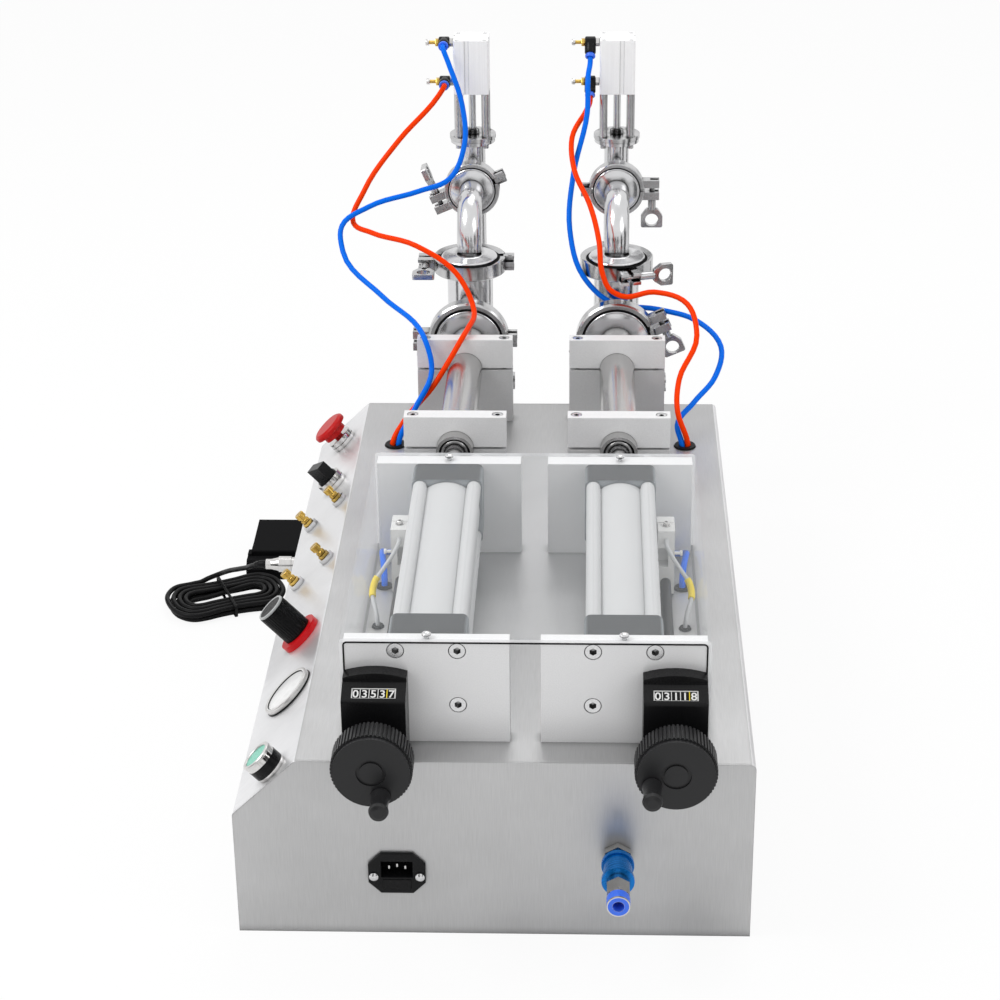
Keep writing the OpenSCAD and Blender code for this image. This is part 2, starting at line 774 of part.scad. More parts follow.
// Fasteners that show: plate screws, split block screws, guard screws and inlet screws
module socket_screw(d, head_d, head_h, len) {
    difference() {
        union() {
            cylinder(d = head_d, h = head_h);
            translate([0, 0, -len]) cylinder(d = d, h = len + over);
        }
        translate([0, 0, head_h / 2]) linear_extrude(head_h) polygon(hex_points(key_share * d));
    }
}
key_share = 0.74;
pan_dome_share = 1.5;
module pan_screw() {
    intersection() {
        cylinder(d = pan_d, h = pan_h);
        translate([0, 0, pan_h - pan_d * pan_dome_share / 2]) sphere(d = pan_d * pan_dome_share);
    }
    translate([0, 0, -pan_shank_len]) cylinder(d = pan_shank_d, h = pan_shank_len + over);
}
module fixing_screws() color("silver") {
    each_head() {
        plate_screw_places() translate([0, plate_y0 + plate_sink, 0]) rotate([90, 0, 0])
            socket_screw(plate_screw_d, plate_head_d, plate_head_h, near_plate_t - plate_sink + thread_len);
        plate_screw_places() translate([0, plate_y1, 0]) rotate([-90, 0, 0])
            socket_screw(plate_screw_d, plate_head_d, plate_head_h, far_plate_t + thread_len);
        for (y = [(block_y0 + block_y1) / 2, (block_y2 + block_y3) / 2], s = [-1, 1])
            translate([s * block_screw_out, y, deck_z + plate_h - block_head_h - over / 2])
                socket_screw(block_screw_d, block_head_d, block_head_h, block_screw_l);
    }
    guard_screw_places() pan_screw();
    for (s = [-1, 1]) on_inlet()
        translate([s * inlet_screw_pitch / 2, -inlet_screw_drop, inlet_t]) pan_screw();
}
block_screw_inset = 9;
block_screw_out = block_w / 2 - block_screw_inset;
block_screw_d = 6;
block_head_d = 10;
block_head_h = 6;
block_screw_l = 60;

// Drive heads
module plate(y, t, clear_r, sink) difference() {
    translate([-plate_w / 2, y, deck_z]) cube([plate_w, t, plate_h]);
    if (clear_r > 0) axial(y - over, y + t + over, clear_r);
    plate_screw_places() along_y(y - over) cylinder(d = plate_screw_d + fit, h = t + 2 * over);
    if (sink > 0) plate_screw_places() along_y(y - over) cylinder(d = plate_seat_d, h = sink + over);
    translate([wheel_out, 0, wheel_z]) along_y(y - over) cylinder(d = screw_d + 2 * run, h = t + 2 * over);
    translate([0, y + t / 2, deck_z + plate_h - pan_shank_len])
        cylinder(d = pan_shank_d, h = pan_shank_len + over);
}
module mount_plates() color("gainsboro") each_head() {
    plate(plate_y0, near_plate_t, 0, plate_sink);
    plate(cyl_y1, far_plate_t, rod_d / 2 + 2 * fit, 0);
}
module drive_cap(y, through) difference() {
    translate([0, y, 0]) rotate([-90, 0, 0]) translate([0, -axis_z, 0]) linear_extrude(cap_len)
        polygon(rounded([[-cap_w / 2, -cap_w / 2], [cap_w / 2, -cap_w / 2], [cap_w / 2, cap_w / 2],
            [-cap_w / 2, cap_w / 2]], [cap_r, cap_r, cap_r, cap_r]));
    if (through) axial(y - over, y + cap_len + over, rod_d / 2 + run);
    plate_screw_places() along_y(through ? y + cap_len - thread_len - over : y - over)
        cylinder(d = plate_screw_d + fit, h = thread_len + 2 * over);
    port(y + (through ? cap_len - port_out : port_out));
}
port_out = 12;
port_d = air_d + 2 * fit;
module port(y) { translate([0, y, axis_z - cap_w / 2 - over]) cylinder(d = port_d, h = thread_len); }
module drive_caps() color("slategray") each_head() {
    drive_cap(cyl_y0, false);
    drive_cap(cyl_y1 - cap_len, true);
}
module barrel_section() {
    difference() {
        union() {
            circle(r = barrel_w / 2 - belly_dip);
            for (a = [45:90:315]) rotate(a) {
                translate([lobe_out, 0]) circle(r = lobe_r);
                translate([0, -lobe_web / 2]) square([lobe_out, lobe_web]);
            }
        }
        circle(r = bore_r);
    }
}
belly_dip = 1.3;
lobe_r = 6.6;
lobe_web = 9.24;
lobe_out = (barrel_w / 2 - lobe_r) * sqrt(2);
module drive_barrels() color("gainsboro") each_head()
    translate([0, cyl_y0 + cap_len, axis_z]) rotate([-90, 0, 0]) linear_extrude(cyl_len - 2 * cap_len)
        barrel_section();

// Piston rod: drive piston, rod and metering piston with its seals
module piston_rod() color("silver") {
    axial(cyl_y0 + cap_len + piston_inset, cyl_y0 + cap_len + piston_inset + piston_t, bore_r - run);
    axial(cyl_y0 + cap_len + piston_inset, tube_y0 + head_inset + seal_t, rod_d / 2);
    for (k = [0, 1]) let (y = tube_y0 + head_inset + k * (seal_t - seal_ring_l))
        axial(y, y + seal_ring_l, tube_ir - run);
}
piston_inset = 4;
seal_ring_l = 7.2;
head_inset = 44;
module left_piston_rod() head(-1) piston_rod();
module right_piston_rod() head(1) piston_rod();

// Split blocks: halves bored together for the metering tube
module block_half(y, t, z0, z1) difference() {
    translate([-block_w / 2, y, z0]) cube([block_w, t, z1 - z0]);
    axial(y - over, y + t + over, tube_od / 2 + run);
    for (s = [-1, 1]) translate([s * block_screw_out, y + t / 2, 0]) {
        translate([0, 0, deck_z + plate_h - block_head_h - block_screw_l - 2 * over])
            cylinder(d = block_screw_d + fit, h = plate_h);
        translate([0, 0, deck_z + plate_h - block_head_h - over / 2])
            cylinder(d = block_head_d + 2 * seat_gap, h = plate_h);
    }
}
module split_block_bases() color("gainsboro") each_head() {
    block_half(block_y0, near_block_t, deck_z, axis_z - split_gap / 2);
    block_half(block_y2, far_block_t, deck_z, axis_z - split_gap / 2);
}
module split_block_caps() color("gainsboro") each_head() {
    block_half(block_y0, near_block_t, axis_z + split_gap / 2, deck_z + plate_h);
    block_half(block_y2, far_block_t, axis_z + split_gap / 2, deck_z + plate_h);
}

// Pipework
module flange(d, r0) rotate_extrude() polygon([[r0, 0], [d / 2, 0], [d / 2, flange_t - flange_taper],
    [d / 2 - lip_reach, flange_t], [r0, flange_t]]);
module metering_tubes() color("silver") each_head() {
    translate([0, tube_y0, axis_z]) rotate([-90, 0, 0])
        ring(tube_od / 2, tube_ir, ferrule_y - tube_y0 - flange_t / 2);
    translate([0, ferrule_y, axis_z]) rotate([90, 0, 0]) flange(ferrule_d, tube_ir);
}
module valve_bodies() color("silver") each_head() translate([0, valve_y, 0]) {
    difference() {
        union() {
            translate([0, 0, valve_bottom_z]) cylinder(d = valve_od, h = valve_top_z - valve_bottom_z);
            translate([0, 0, axis_z]) rotate([90, 0, 0])
                cylinder(r = tube_od / 2, h = branch_len - flange_t / 2);
            translate([0, -branch_len, axis_z]) rotate([-90, 0, 0]) flange(ferrule_d, tube_ir);
            translate([0, 0, valve_top_z]) mirror([0, 0, 1]) flange(ferrule_d, valve_od / 2 - over);
            translate([0, 0, valve_bottom_z]) flange(ferrule_d, valve_od / 2 - over);
        }
        translate([0, 0, valve_bottom_z - over])
            cylinder(r = valve_od / 2 - pipe_wall, h = valve_top_z - valve_bottom_z + 2 * over);
        translate([0, 0, axis_z]) rotate([90, 0, 0]) cylinder(r = tube_ir, h = branch_len + over);
    }
    for (z = seat_zs) translate([0, 0, z]) ring(valve_od / 2 - pipe_wall, seat_d / 2, seat_t);
}
seat_drop = 50;
seat_rise = 32;
seat_zs = [axis_z - seat_drop, axis_z + seat_rise];
ball_rise = sqrt(pow(ball_d / 2, 2) - pow(seat_d / 2, 2)) + run;
module check_balls() color("white") each_head()
    for (z = seat_zs) translate([0, valve_y, z + seat_t + ball_rise]) sphere(d = ball_d);

// Outlet elbow: reducer, upright leg, quarter bend and level leg with a small ferrule
module outlet_elbows() color("silver") each_head() translate([0, valve_y, 0]) {
    translate([0, 0, elbow_z0]) {
        flange(ferrule_d, outlet_od / 2 - pipe_wall);
        ring(reducer_d / 2, outlet_od / 2 - pipe_wall, flange_t + reducer_t);
        leg(elbow_leg + weld);
    }
    translate([0, elbow_r, outlet_z - elbow_r]) rotate([90, 0, -90])
        rotate_extrude(angle = 90) translate([elbow_r, 0]) pipe_section();
    translate([0, elbow_r - weld, outlet_z]) rotate([-90, 0, 0]) {
        leg(elbow_tail + weld);
        translate([0, 0, elbow_tail + weld]) mirror([0, 0, 1])
            flange(small_ferrule_d, outlet_od / 2 - pipe_wall);
    }
}
module leg(h) { ring(outlet_od / 2 - seam, outlet_od / 2 - pipe_wall + seam, h); }
module pipe_section() difference() {
    circle(d = outlet_od);
    circle(d = outlet_od - 2 * pipe_wall);
}

// Nozzle column: tee with a small ferrule, upright tube, flange disc and seat ring at the outlet
module nozzle_bodies() color("silver") each_head() translate([0, nozzle_y, 0]) difference() {
    union() {
        translate([0, 0, tip_z]) cylinder(d = outlet_od, h = disc_z0 - tip_z);
        translate([0, 0, disc_z0]) cylinder(d = lower_disc_d, h = disc_t - fit / 2);
        translate([0, 0, outlet_z]) rotate([90, 0, 0])
            cylinder(d = outlet_od, h = nozzle_reach - flange_t / 2);
        translate([0, -nozzle_reach, outlet_z]) rotate([-90, 0, 0])
            flange(small_ferrule_d, outlet_od / 2 - pipe_wall);
    }
    translate([0, 0, tip_z + nozzle_lip]) cylinder(d = outlet_od - 2 * pipe_wall, h = disc_z0 - tip_z);
    translate([0, 0, tip_z - over]) cylinder(d = mouth_d, h = nozzle_lip + 2 * over);
    translate([0, 0, outlet_z]) rotate([90, 0, 0])
        cylinder(d = outlet_od - 2 * pipe_wall, h = nozzle_reach + over);
    for (a = [45:90:315]) rotate(a) translate([post_pitch / sqrt(2), 0, disc_z0 - over])
        cylinder(d = disc_bolt_d + fit, h = disc_t + 2 * over);
}
nozzle_lip = 6;
mouth_d = 18;
disc_bolt_d = 4;
disc_bolt_head = 7;
disc_bolt_t = 4;

// Open frame: upper disc, four posts and the bolts that hold it to the lower disc
module lift_frames() color("silver") each_head() translate([0, nozzle_y, 0]) {
    difference() {
        translate([0, 0, disc_z0 + disc_t]) cylinder(d = disc_d, h = disc_t);
        translate([0, 0, disc_z0 + disc_t - over]) cylinder(d = plunger_d + 2 * run, h = disc_t + 2 * over);
    }
    for (a = [45:90:315]) rotate(a) translate([post_pitch / sqrt(2), 0, 0]) {
        translate([0, 0, frame_z0 - over]) cylinder(d = post_d, h = frame_h + over);
        translate([0, 0, disc_z0]) cylinder(d = disc_bolt_d, h = disc_t + over);
        translate([0, 0, disc_z0 - disc_bolt_t]) cylinder(d = disc_bolt_head, h = disc_bolt_t);
    }
}
module lift_cylinders() color("whitesmoke") each_head() translate([0, nozzle_y, lift_z0]) difference() {
    linear_extrude(lift_h) difference() {
        polygon(rounded([[-lift_w / 2, -lift_w / 2], [lift_w / 2, -lift_w / 2], [lift_w / 2, lift_w / 2],
            [-lift_w / 2, lift_w / 2]], [lift_r, lift_r, lift_r, lift_r], 4));
        for (a = [0:90:270]) rotate(a) translate([slot_out, -lift_w / 2])
            square([slot_face_w, 2 * slot_face_t], center = true);
    }
    translate([0, 0, lift_wall]) cylinder(d = lift_bore_d, h = lift_h - 2 * lift_wall);
    translate([0, 0, -over]) cylinder(d = plunger_d + 2 * run, h = lift_wall + 2 * over);
    for (s = [-1, 1], z = [lower_port_inset, lift_h - upper_port_inset])
        translate([-s * (lift_w / 2 + over), 0, z]) rotate([0, s * 90, 0])
            cylinder(d = port_thread_d, h = port_depth + over);
    for (a = [45:90:315]) rotate(a) translate([post_pitch / sqrt(2), 0, lift_h - corner_hole_l])
        cylinder(d = corner_hole_d, h = corner_hole_l + over);
}
lift_r = 2;
slot_out = 5;
slot_face_w = 5;
slot_face_t = 1;
port_thread_d = 5;
port_depth = 3;
corner_hole_d = 5.5;
corner_hole_l = 5;

// Plunger: air piston, rod, lock nut and the cone that closes the nozzle's mouth
module plunger() color("silver") translate([0, nozzle_y, 0]) {
    translate([0, 0, tip_z + nozzle_lip]) {
        translate([0, 0, run])
            cylinder(d1 = mouth_d - fit, d2 = plunger_head_d, h = plunger_cone_h);
        translate([0, 0, plunger_cone_h]) cylinder(d = plunger_head_d, h = plunger_head_t);
        translate([0, 0, over])
            cylinder(d = plunger_d, h = lift_z0 + lift_wall - tip_z - nozzle_lip);
    }
    translate([0, 0, lift_z0 + lift_wall + fit]) cylinder(d = lift_bore_d - 2 * run, h = lift_piston_t);
    translate([0, 0, frame_z0 + fit]) linear_extrude(lock_nut_h) polygon(hex_points(lock_nut_w));
}
plunger_head_d = 22;
plunger_cone_h = 2;
lift_room = 22;
lift_piston_t = lift_h - 2 * lift_wall - lift_stroke - lift_room;
lock_nut_h = 5;
lock_nut_w = 13;
module left_plunger() head(-1) plunger();
module right_plunger() head(1) plunger();

// Flow controls on the same side of both lift cylinders: stem, elbow, release ring and needle screw
module flow_control(tilt) {
    rotate([0, -90, 0]) {
        cylinder(d = port_thread_d - fit, h = control_stem);
        translate([0, 0, fit]) cylinder(d = control_hex_d, h = control_stem);
        translate([0, 0, control_stem]) cylinder(d = control_d, h = control_body);
        translate([0, 0, control_stem + control_body]) cylinder(d = control_hex_d, h = control_hex_t);
        translate([0, 0, control_stem + control_body]) cylinder(d = control_needle_d, h = control_needle_l);
        translate([0, 0, control_stem + control_body + control_needle_l - control_knob_t])
            cylinder(d = control_knob_d, h = control_knob_t);
    }
    translate([-control_out, 0, 0]) rotate([90 + tilt, 0, 0]) difference() {
        union() {
            cylinder(d = control_d - fit, h = control_reach - control_ring_t);
            cylinder(d = control_ring_d, h = control_reach);
        }
        translate([0, 0, control_reach - control_socket])
            cylinder(d = air_d + fit, h = control_socket + over);
    }
}
control_stem = 5;
control_body = 12;
control_d = 13;
control_hex_d = 9;
control_hex_t = 4;
control_needle_d = 4;
control_needle_l = 15;
control_knob_d = 7;
control_knob_t = 4;
control_out = control_stem + control_body / 2;
control_reach = 19;
control_ring_t = 5;
control_ring_d = 11.5;
control_socket = 6;
control_tilts = [0, 50];
function control_base(h, z) = [mid_x + (2 * h - 1) * head_pitch / 2 - lift_w / 2, nozzle_y, z];
lower_port_z = lift_z0 + lower_port_inset;
upper_port_z = lift_z1 - upper_port_inset;
module flow_controls() color("dimgray") for (h = [0, 1], z = [lower_port_z, upper_port_z])
    translate(control_base(h, z)) flow_control(control_tilts[h]);
function control_dir(h) = [0, -cos(control_tilts[h]), -sin(control_tilts[h])];
function control_mouth(h, z, back) = control_base(h, z) + [-control_out, 0, 0]
    + control_dir(h) * (control_reach - control_socket + back);

// Pipe clamps: two hinged halves, hinge pin, swing bolt and eye nut; local axis Z, bolt side at angle a
module clamp_half(r_hold, w, t, a0, a1) {
    r_lip = r_hold - lip_reach;
    gap = flange_t + gasket_t / 2 + fit;
    c = t * clamp_edge_share;
    rotate([0, 0, a0]) rotate_extrude(angle = a1 - a0) polygon([[r_lip, -w / 2],
        [r_hold + t - c, -w / 2], [r_hold + t, -w / 2 + c], [r_hold + t, w / 2 - c],
        [r_hold + t - c, w / 2], [r_lip, w / 2], [r_lip, gap], [r_hold + fit, gap - over],
        [r_hold + fit, -gap + over], [r_lip, -gap]]);
}
module clamp_lug(r, s, len) difference() {
    translate([r, s > 0 ? lug_split : -lug_split - lug_t, -lug_w / 2]) cube([len, lug_t, lug_w]);
    translate([r + len - lug_w / 2 - swing_d / 2 - fit, s > 0 ? 0 : -2 * lug_t, -swing_d / 2 - fit])
        cube([len, 2 * lug_t, swing_d + 2 * fit]);
}
lug_split = 2.5;
clamp_edge_share = 0.15;
module pipe_clamp(d, w, t, swing, a, nut, turn) rotate([0, 0, a]) {
    r = d / 2 + t;
    bolt_x = r + lug_l - lug_w / 2 - over;
    knuckle_l = r * sin(hinge_angle) + hinge_t / 2;
    neck_l = eye_neck_l + swing - swing_len;
    for (s = [-1, 1]) {
        if (s > 0) clamp_half(d / 2, w, t, ring_gap_angle / 2, 180 - hinge_angle);
        else clamp_half(d / 2, w, t, 180 + hinge_angle, 360 - ring_gap_angle / 2);
        clamp_lug(r - lug_root, s, lug_l + lug_root);
    }
    for (s = [-1, 1], z = [-1, 0, 1]) if ((s > 0) == (z == 0))
        rotate([0, 0, 180])
            translate([r - lug_root, s > 0 ? -knuckle_l : -hinge_t / 2, z * w / 3 - knuckle_share * w / 2])
            cube([lug_root + hinge_d, knuckle_l + hinge_t / 2, knuckle_share * w]);
    rotate([0, 0, 180]) translate([r + hinge_d / 2, 0, -w / 2]) cylinder(d = hinge_pin, h = w);
    translate([bolt_x, 0, 0]) rotate([nut * 90 + 180, 0, 0]) {
        translate([0, 0, -lug_split - lug_t / 2]) cylinder(d = swing_d, h = swing);
        translate([0, 0, lug_split + lug_t + fit]) cylinder(d = eye_neck_d, h = neck_l);
        translate([0, 0, lug_split + lug_t + fit + neck_l + eye_w / 2 - over]) rotate([turn, 90, 0])
            translate([0, 0, -eye_t / 2]) linear_extrude(eye_t) difference() {
                polygon(rounded([for (p = eye_shares) eye_w / 2 * p],
                    [for (p = eye_shares) eye_edge], 3));
                circle(d = eye_hole_d);
            }
    }
    translate([bolt_x, -nut * (lug_split + lug_t / 2), -lug_w / 2]) cylinder(d = swing_pin, h = lug_w);
}
hinge_angle = 7;
knuckle_share = 2 / 7;
hinge_t = 6;
hinge_pin = 4;
swing_pin = 5;
lug_root = 3;
eye_shares = [[1, 0.5], [0.35, 0.95], [-0.7, 0.95], [-0.7, -0.95], [0.35, -0.95], [1, -0.5]];
eye_edge = 2;
eye_neck_d = 9;
eye_neck_l = 9;
big_clamp_angles = [180, 24];
top_clamp_angles = [180, -74];
small_clamp_angles = [203, 0];
low_clamp_angles = [180, 0];
module pipe_clamps() color("silver") {
    for (h = [0, 1]) translate([mid_x + (2 * h - 1) * head_pitch / 2, 0, 0]) {
        translate([0, big_mid_y, axis_z]) rotate([90, 0, 0])
            pipe_clamp(ferrule_d, ring_w, ring_t, swing_len, big_clamp_angles[h], h == 0 ? 1 : -1,
                h * 90);
        translate([0, valve_y, valve_top_z + gasket_t / 2])
            pipe_clamp(ferrule_d, ring_w, flat_ring_t, long_swing_len, top_clamp_angles[h], 1,
                90 - h * 90);
        translate([0, small_joint_y + gasket_t / 2, outlet_z]) rotate([90, 0, 0])
            pipe_clamp(small_ferrule_d, small_ring_w, small_ring_t, small_swing_len,
                small_clamp_angles[h], -1,
                h * 90);
        translate([0, valve_y, valve_bottom_z - gasket_t / 2])
            pipe_clamp(ferrule_d, ring_w, flat_ring_t, swing_len, low_clamp_angles[h], 1, 0);
    }
}

// Hose barb under each valve body, where the product comes in
module inlet_barbs() color("silver") each_head() translate([0, valve_y, valve_bottom_z - gasket_t])
    mirror([0, 0, 1]) difference() {
        union() {
            flange(ferrule_d, barb_bore_d / 2);
            cylinder(d = barb_d, h = barb_root + barb_len);
            for (k = [1:barb_count])
                translate([0, 0, barb_root + barb_len - k * barb_len / (barb_count + 1)])
                cylinder(d1 = barb_d + 2 * barb_rise, d2 = barb_d, h = barb_len / (barb_count + 2));
        }
        translate([0, 0, -over]) cylinder(d = barb_bore_d, h = barb_root + barb_len + 2 * over);
    }
barb_bore_d = 20;
barb_root = 10;

// Position counter: side profile with a sloping window, under an arched back
module counter_housings() color("black") each_head() difference() {
    union() {
        translate([wheel_out - counter_w / 2, 0, deck_z + counter_lift]) rotate([90, 0, 90])
            linear_extrude(counter_w) polygon(rounded(
                [for (p = counter_shares) [plate_y0 - p.x * counter_t, p.y * counter_h]],
                counter_edges, 4));
        translate([wheel_out, plate_y0, deck_z + counter_lift]) rotate([90, 0, 0])
            linear_extrude(counter_t * arch_share) polygon(concat([[counter_w / 2, counter_h / 2]],
                [for (k = [0:8]) let (u = 1 - k / 4)
                    [u * counter_w / 2, counter_h * (1 - arch_drop_share * u * u)]],
                [[-counter_w / 2, counter_h / 2]]));
    }
    translate([wheel_out, 0, wheel_z]) along_y(counter_y0 - over)
        cylinder(d = screw_d + 2 * run, h = counter_t + 2 * over);
    translate([plate_screw_pitch / 2, 0, axis_z - plate_screw_pitch / 2])
        along_y(plate_y0 - plate_head_h - over)
        cylinder(d = plate_head_d + 2 * over, h = counter_t);
    translate([wheel_out - window_w / 2, counter_y0 + window_front, deck_z + counter_lift + window_z])
        rotate([window_tilt, 0, 0]) cube([window_w, window_l, counter_h]);
}
counter_shares = [[0, 0], [0, 0.93], [0.45, 0.9], [1, 0.79], [1, 0]];
counter_edges = [0, 0, 0, 3, 2];
arch_share = 0.4;
arch_drop_share = 0.06;
window_tilt = atan2((counter_shares[2].y - counter_shares[3].y) * counter_h,
    (counter_shares[3].x - counter_shares[2].x) * counter_t);
window_w = 37.5;
window_l = 11;
window_front = 4;
window_z = counter_h * counter_shares[3].y;

// Handwheel with its lead screw; the near face is a shallow dish round a hub disc
module handwheel(grip_at) color("dimgray") translate([0, 0, wheel_z]) {
    along_y(wheel_y0) difference() {
        union() {
            translate([0, 0, wheel_rim]) linear_extrude(wheel_t - wheel_rim)
                polygon(ribbed(wheel_d / 2, wheel_ribs, rib_depth));
            cylinder(d = wheel_d * face_share, h = wheel_t);
        }
        translate([0, 0, -over]) ring(dish_d / 2, dish_d / 2 - 2 * dish_t, dish_t + over);
        translate([0, 0, wheel_t - wheel_hollow])
            ring(wheel_d / 2 - wheel_rim, hub_d / 2, wheel_hollow + over);
    }
    along_y(wheel_y1 - over) cylinder(d = hub_d, h = hub_len - fit + over);
    along_y(wheel_y1 - over) cylinder(d = screw_d, h = plate_y1 - wheel_y1);
    translate([grip_at.x, 0, grip_at.y])
        along_y(wheel_y0 - grip_pin_len) cylinder(d = grip_pin_d, h = grip_pin_len + over);
}
wheel_rim = 4;
wheel_hollow = 12;
module at_wheel(side) { translate([mid_x + side * (head_pitch / 2 + wheel_out), 0, 0]) children(); }
module left_handwheel() at_wheel(-1) handwheel(left_grip_at);
module right_handwheel() at_wheel(1) handwheel(right_grip_at);
module grip(grip_at) color("black") translate([grip_at.x, wheel_y0 - fit, wheel_z + grip_at.y])
    rotate([90, 0, 0]) difference() {
        rotate_extrude() polygon(concat([[0, 0], [grip_d / 2 - grip_edge, 0]],
            [for (k = [0:6]) let (u = k / 6)
                [grip_d / 2 - grip_waist * sin(180 * u), grip_foot + u * (grip_len - 3 * grip_foot)]],
            [[grip_d / 2 - grip_edge, grip_len - grip_edge],
             [grip_d / 2 - 4 * grip_edge, grip_len], [0, grip_len]]));
        translate([0, 0, -over]) cylinder(d = grip_pin_d + 2 * run, h = grip_pin_len + over);
    }
grip_edge = 1;
grip_waist = 1.2;
grip_foot = 2;
module left_grip() at_wheel(-1) grip(left_grip_at);
module right_grip() at_wheel(1) grip(right_grip_at);

// Sensor slide: a block on the lead screw with an arm that holds the position sensor by the barrel
module sensor_slide() color("whitesmoke") translate([0, slide_y1 - slide_l, 0]) difference() {
    union() {
        translate([wheel_out - slide_w / 2, 0, deck_z + 4 * fit]) cube([slide_w, slide_l, slide_h]);
        translate([cap_w / 2 + 2 * fit, slide_l - sensor_t, axis_z - sensor_t / 2])
            cube([slide_w, sensor_t, sensor_t]);
    }
    translate([wheel_out, -over, wheel_z]) rotate([-90, 0, 0])
        cylinder(d = screw_d + 2 * run, h = slide_l + 2 * over);
    translate([wheel_out - slide_w / 2 - over, -over, deck_z + notch_shares.z * slide_h])
        cube([slide_w * notch_shares.x, slide_l * notch_shares.y, notch_h]);
}
notch_shares = [0.7, 0.5, 0.45];
notch_h = 19.8;
module left_sensor_slide() head(-1) sensor_slide();
module right_sensor_slide() head(1) sensor_slide();

// Solenoid valves on the floor of the cabinet
module solenoid_valves() color("dimgray") translate([manifold_x, manifold_y, sheet_t]) {
    translate([-manifold_l / 2, -manifold_w / 2, 0]) cube([manifold_l, manifold_w, manifold_h]);
    for (k = [-2:2]) translate([k * coil_pitch - coil_w / 2, -manifold_w / 2, manifold_h - over])
        cube([coil_w, coil_l, coil_h + over]);
}

// Lines under the guard, in one head's own axes: air line from the far cap and the sensor's lead
air_line = [[0, -12, 38.9], [0, -12, 28], [2, -11, 18], [8, -9, 9.5], [18, -7.5, 4.5], [34, -7, 4],
    [50, -7.5, 4], [60, -13, 6], [64.5, -23, 12], [64, -37, 17], [62, -53, 18], [60.3, -65, 14],
    [59.5, -72, 7], [59.5, -74, 0], [59.5, -74, -14]];
sensor_line = [[43, -87.3, 58], [43, -95, 57], [47, -103, 51], [57, -112, 38], [64, -118, 29],
    [66, -126, 23], [65, -136, 19], [62, -146, 14], [60, -153, 7], [59.5, -154, 0],
    [59.5, -154, -14]];
module guard_lines() color("dodgerblue") each_head() translate([0, cyl_y1, deck_z]) {
    swept(air_line, air_d, 8);
    swept(sensor_line, line_d, 8);
}

// Air tubes of the nozzle lifts: from the flow controls' mouths down into the deck grommets
left_blue = [[-80, 551, 518], [-64, 533, 474], [-61, 514, 434], [-78, 498, 398], [-112, 488, 387],
    [-168, 478, 372], [-198, 464, 354], [-196, 446, 330], [-150, 402, 294], [-106, 345, 279],
    [-99, 329, 274], [-90, 309, 243], [-108, 280, 209]];
left_red = [[-92, 553, 478], [-135, 520, 437], [-174, 495, 386], [-186, 475, 354], [-164, 456, 349],
    [-112, 424, 345], [-67, 407, 319], [-47, 386, 284], [-52, 345, 278], [-57, 329, 274],
    [-70, 314, 255], [-88, 303, 228], [-119, 281, 196]];
right_blue = [[78, 556, 503], [77, 535, 464], [62, 508, 402], [58, 474, 347], [73, 446, 302],
    [102, 437, 275], [158, 435, 266], [198, 414, 262], [226, 376, 245], [218, 338, 224],
    [194, 305, 208], [176, 280, 192]];
right_red = [[76, 555, 461], [60, 522, 439], [63, 495, 409], [80, 468, 379], [91, 430, 347],
    [95, 413, 316], [103, 408, 300], [116, 406, 293], [152, 400, 300], [188, 379, 294],
    [198, 352, 268], [178, 310, 233], [176, 277, 209]];
air_depth = 14;
tube_split = 0.2;
tube_shift = air_d / 2 + tube_split;
function grommet_end(side, shift, z) =
    [mid_x + side * (head_pitch / 2 + tube_grommet_out) + shift, tube_grommet_y, z];
function air_route(h, z, mid, side, shift) = concat(
    [control_mouth(h, z, fit), control_mouth(h, z, control_socket + air_d)], mid,
    [grommet_end(side, shift, deck_z + grommet_t), grommet_end(side, shift, deck_z - air_depth)]);
module left_blue_tube() color("dodgerblue")
    swept(air_route(0, upper_port_z, left_blue, -1, tube_shift), air_d, 8);
module left_red_tube() color("orangered")
    swept(air_route(0, lower_port_z, left_red, -1, -tube_shift), air_d, 8);
module right_blue_tube() color("dodgerblue")
    swept(air_route(1, upper_port_z, right_blue, 1, -tube_shift), air_d, 8);
module right_red_tube() color("orangered")
    swept(air_route(1, lower_port_z, right_red, 1, tube_shift), air_d, 8);

// Hank of the pedal's cable: loops wound inwards, a climb along a run, loops wound outwards on top
function hank_radius(t) = t < hank_back ? hank_r - hank_pitch * t
    : hank_r - hank_pitch * hank_back + hank_pitch * max(0, t - hank_back - 0.25);
function eased(u) = let (v = min(1, max(0, u))) v * v * (3 - 2 * v);
function hank_flat(t) = let (q = (t - floor(t)) * 4, r = hank_radius(t))
    q < 1 ? [hank_a - 2 * hank_a * q, -r]
    : q < 2 ? [-hank_a + r * cos(270 - 180 * (q - 1)), r * sin(270 - 180 * (q - 1))]
    : q < 3 ? [-hank_a + 2 * hank_a * (q - 2), r]
    : [hank_a + r * cos(90 - 180 * (q - 3)), r * sin(90 - 180 * (q - 3))];
function hank_point(t) = let (p = hank_flat(t), w = 1 + hank_bulge_share * pow(p.x / (hank_a + hank_r), 2),
    g = turned(hank_turn, [p.x, p.y * w]))
    [hank_at.x + g.x, hank_at.y + g.y, hank_z + hank_layer * eased((t - hank_back) / 0.25)];
hank_end_t = hank_loops + 0.5;
hank_loop_points = [for (k = [0:hank_end_t * hank_rings]) hank_point(k / hank_rings)];
hank_last = len(hank_loop_points) - 1;
hank_in = hank_loop_points[0] + unit(hank_loop_points[0] - hank_loop_points[1]) * cable_d;
hank_out = hank_loop_points[hank_last]
    + unit(hank_loop_points[hank_last] - hank_loop_points[hank_last - 1]) * cable_d;
hank_path = concat([hank_in], hank_loop_points, [hank_out]);
hank_gap = min([for (i = [0:hank_last]) for (j = [i + hank_rings / 2:1:hank_last])
    norm(hank_loop_points[i] - hank_loop_points[j])]) - cable_d;
echo("least gap of the hank to itself, mm", hank_gap);
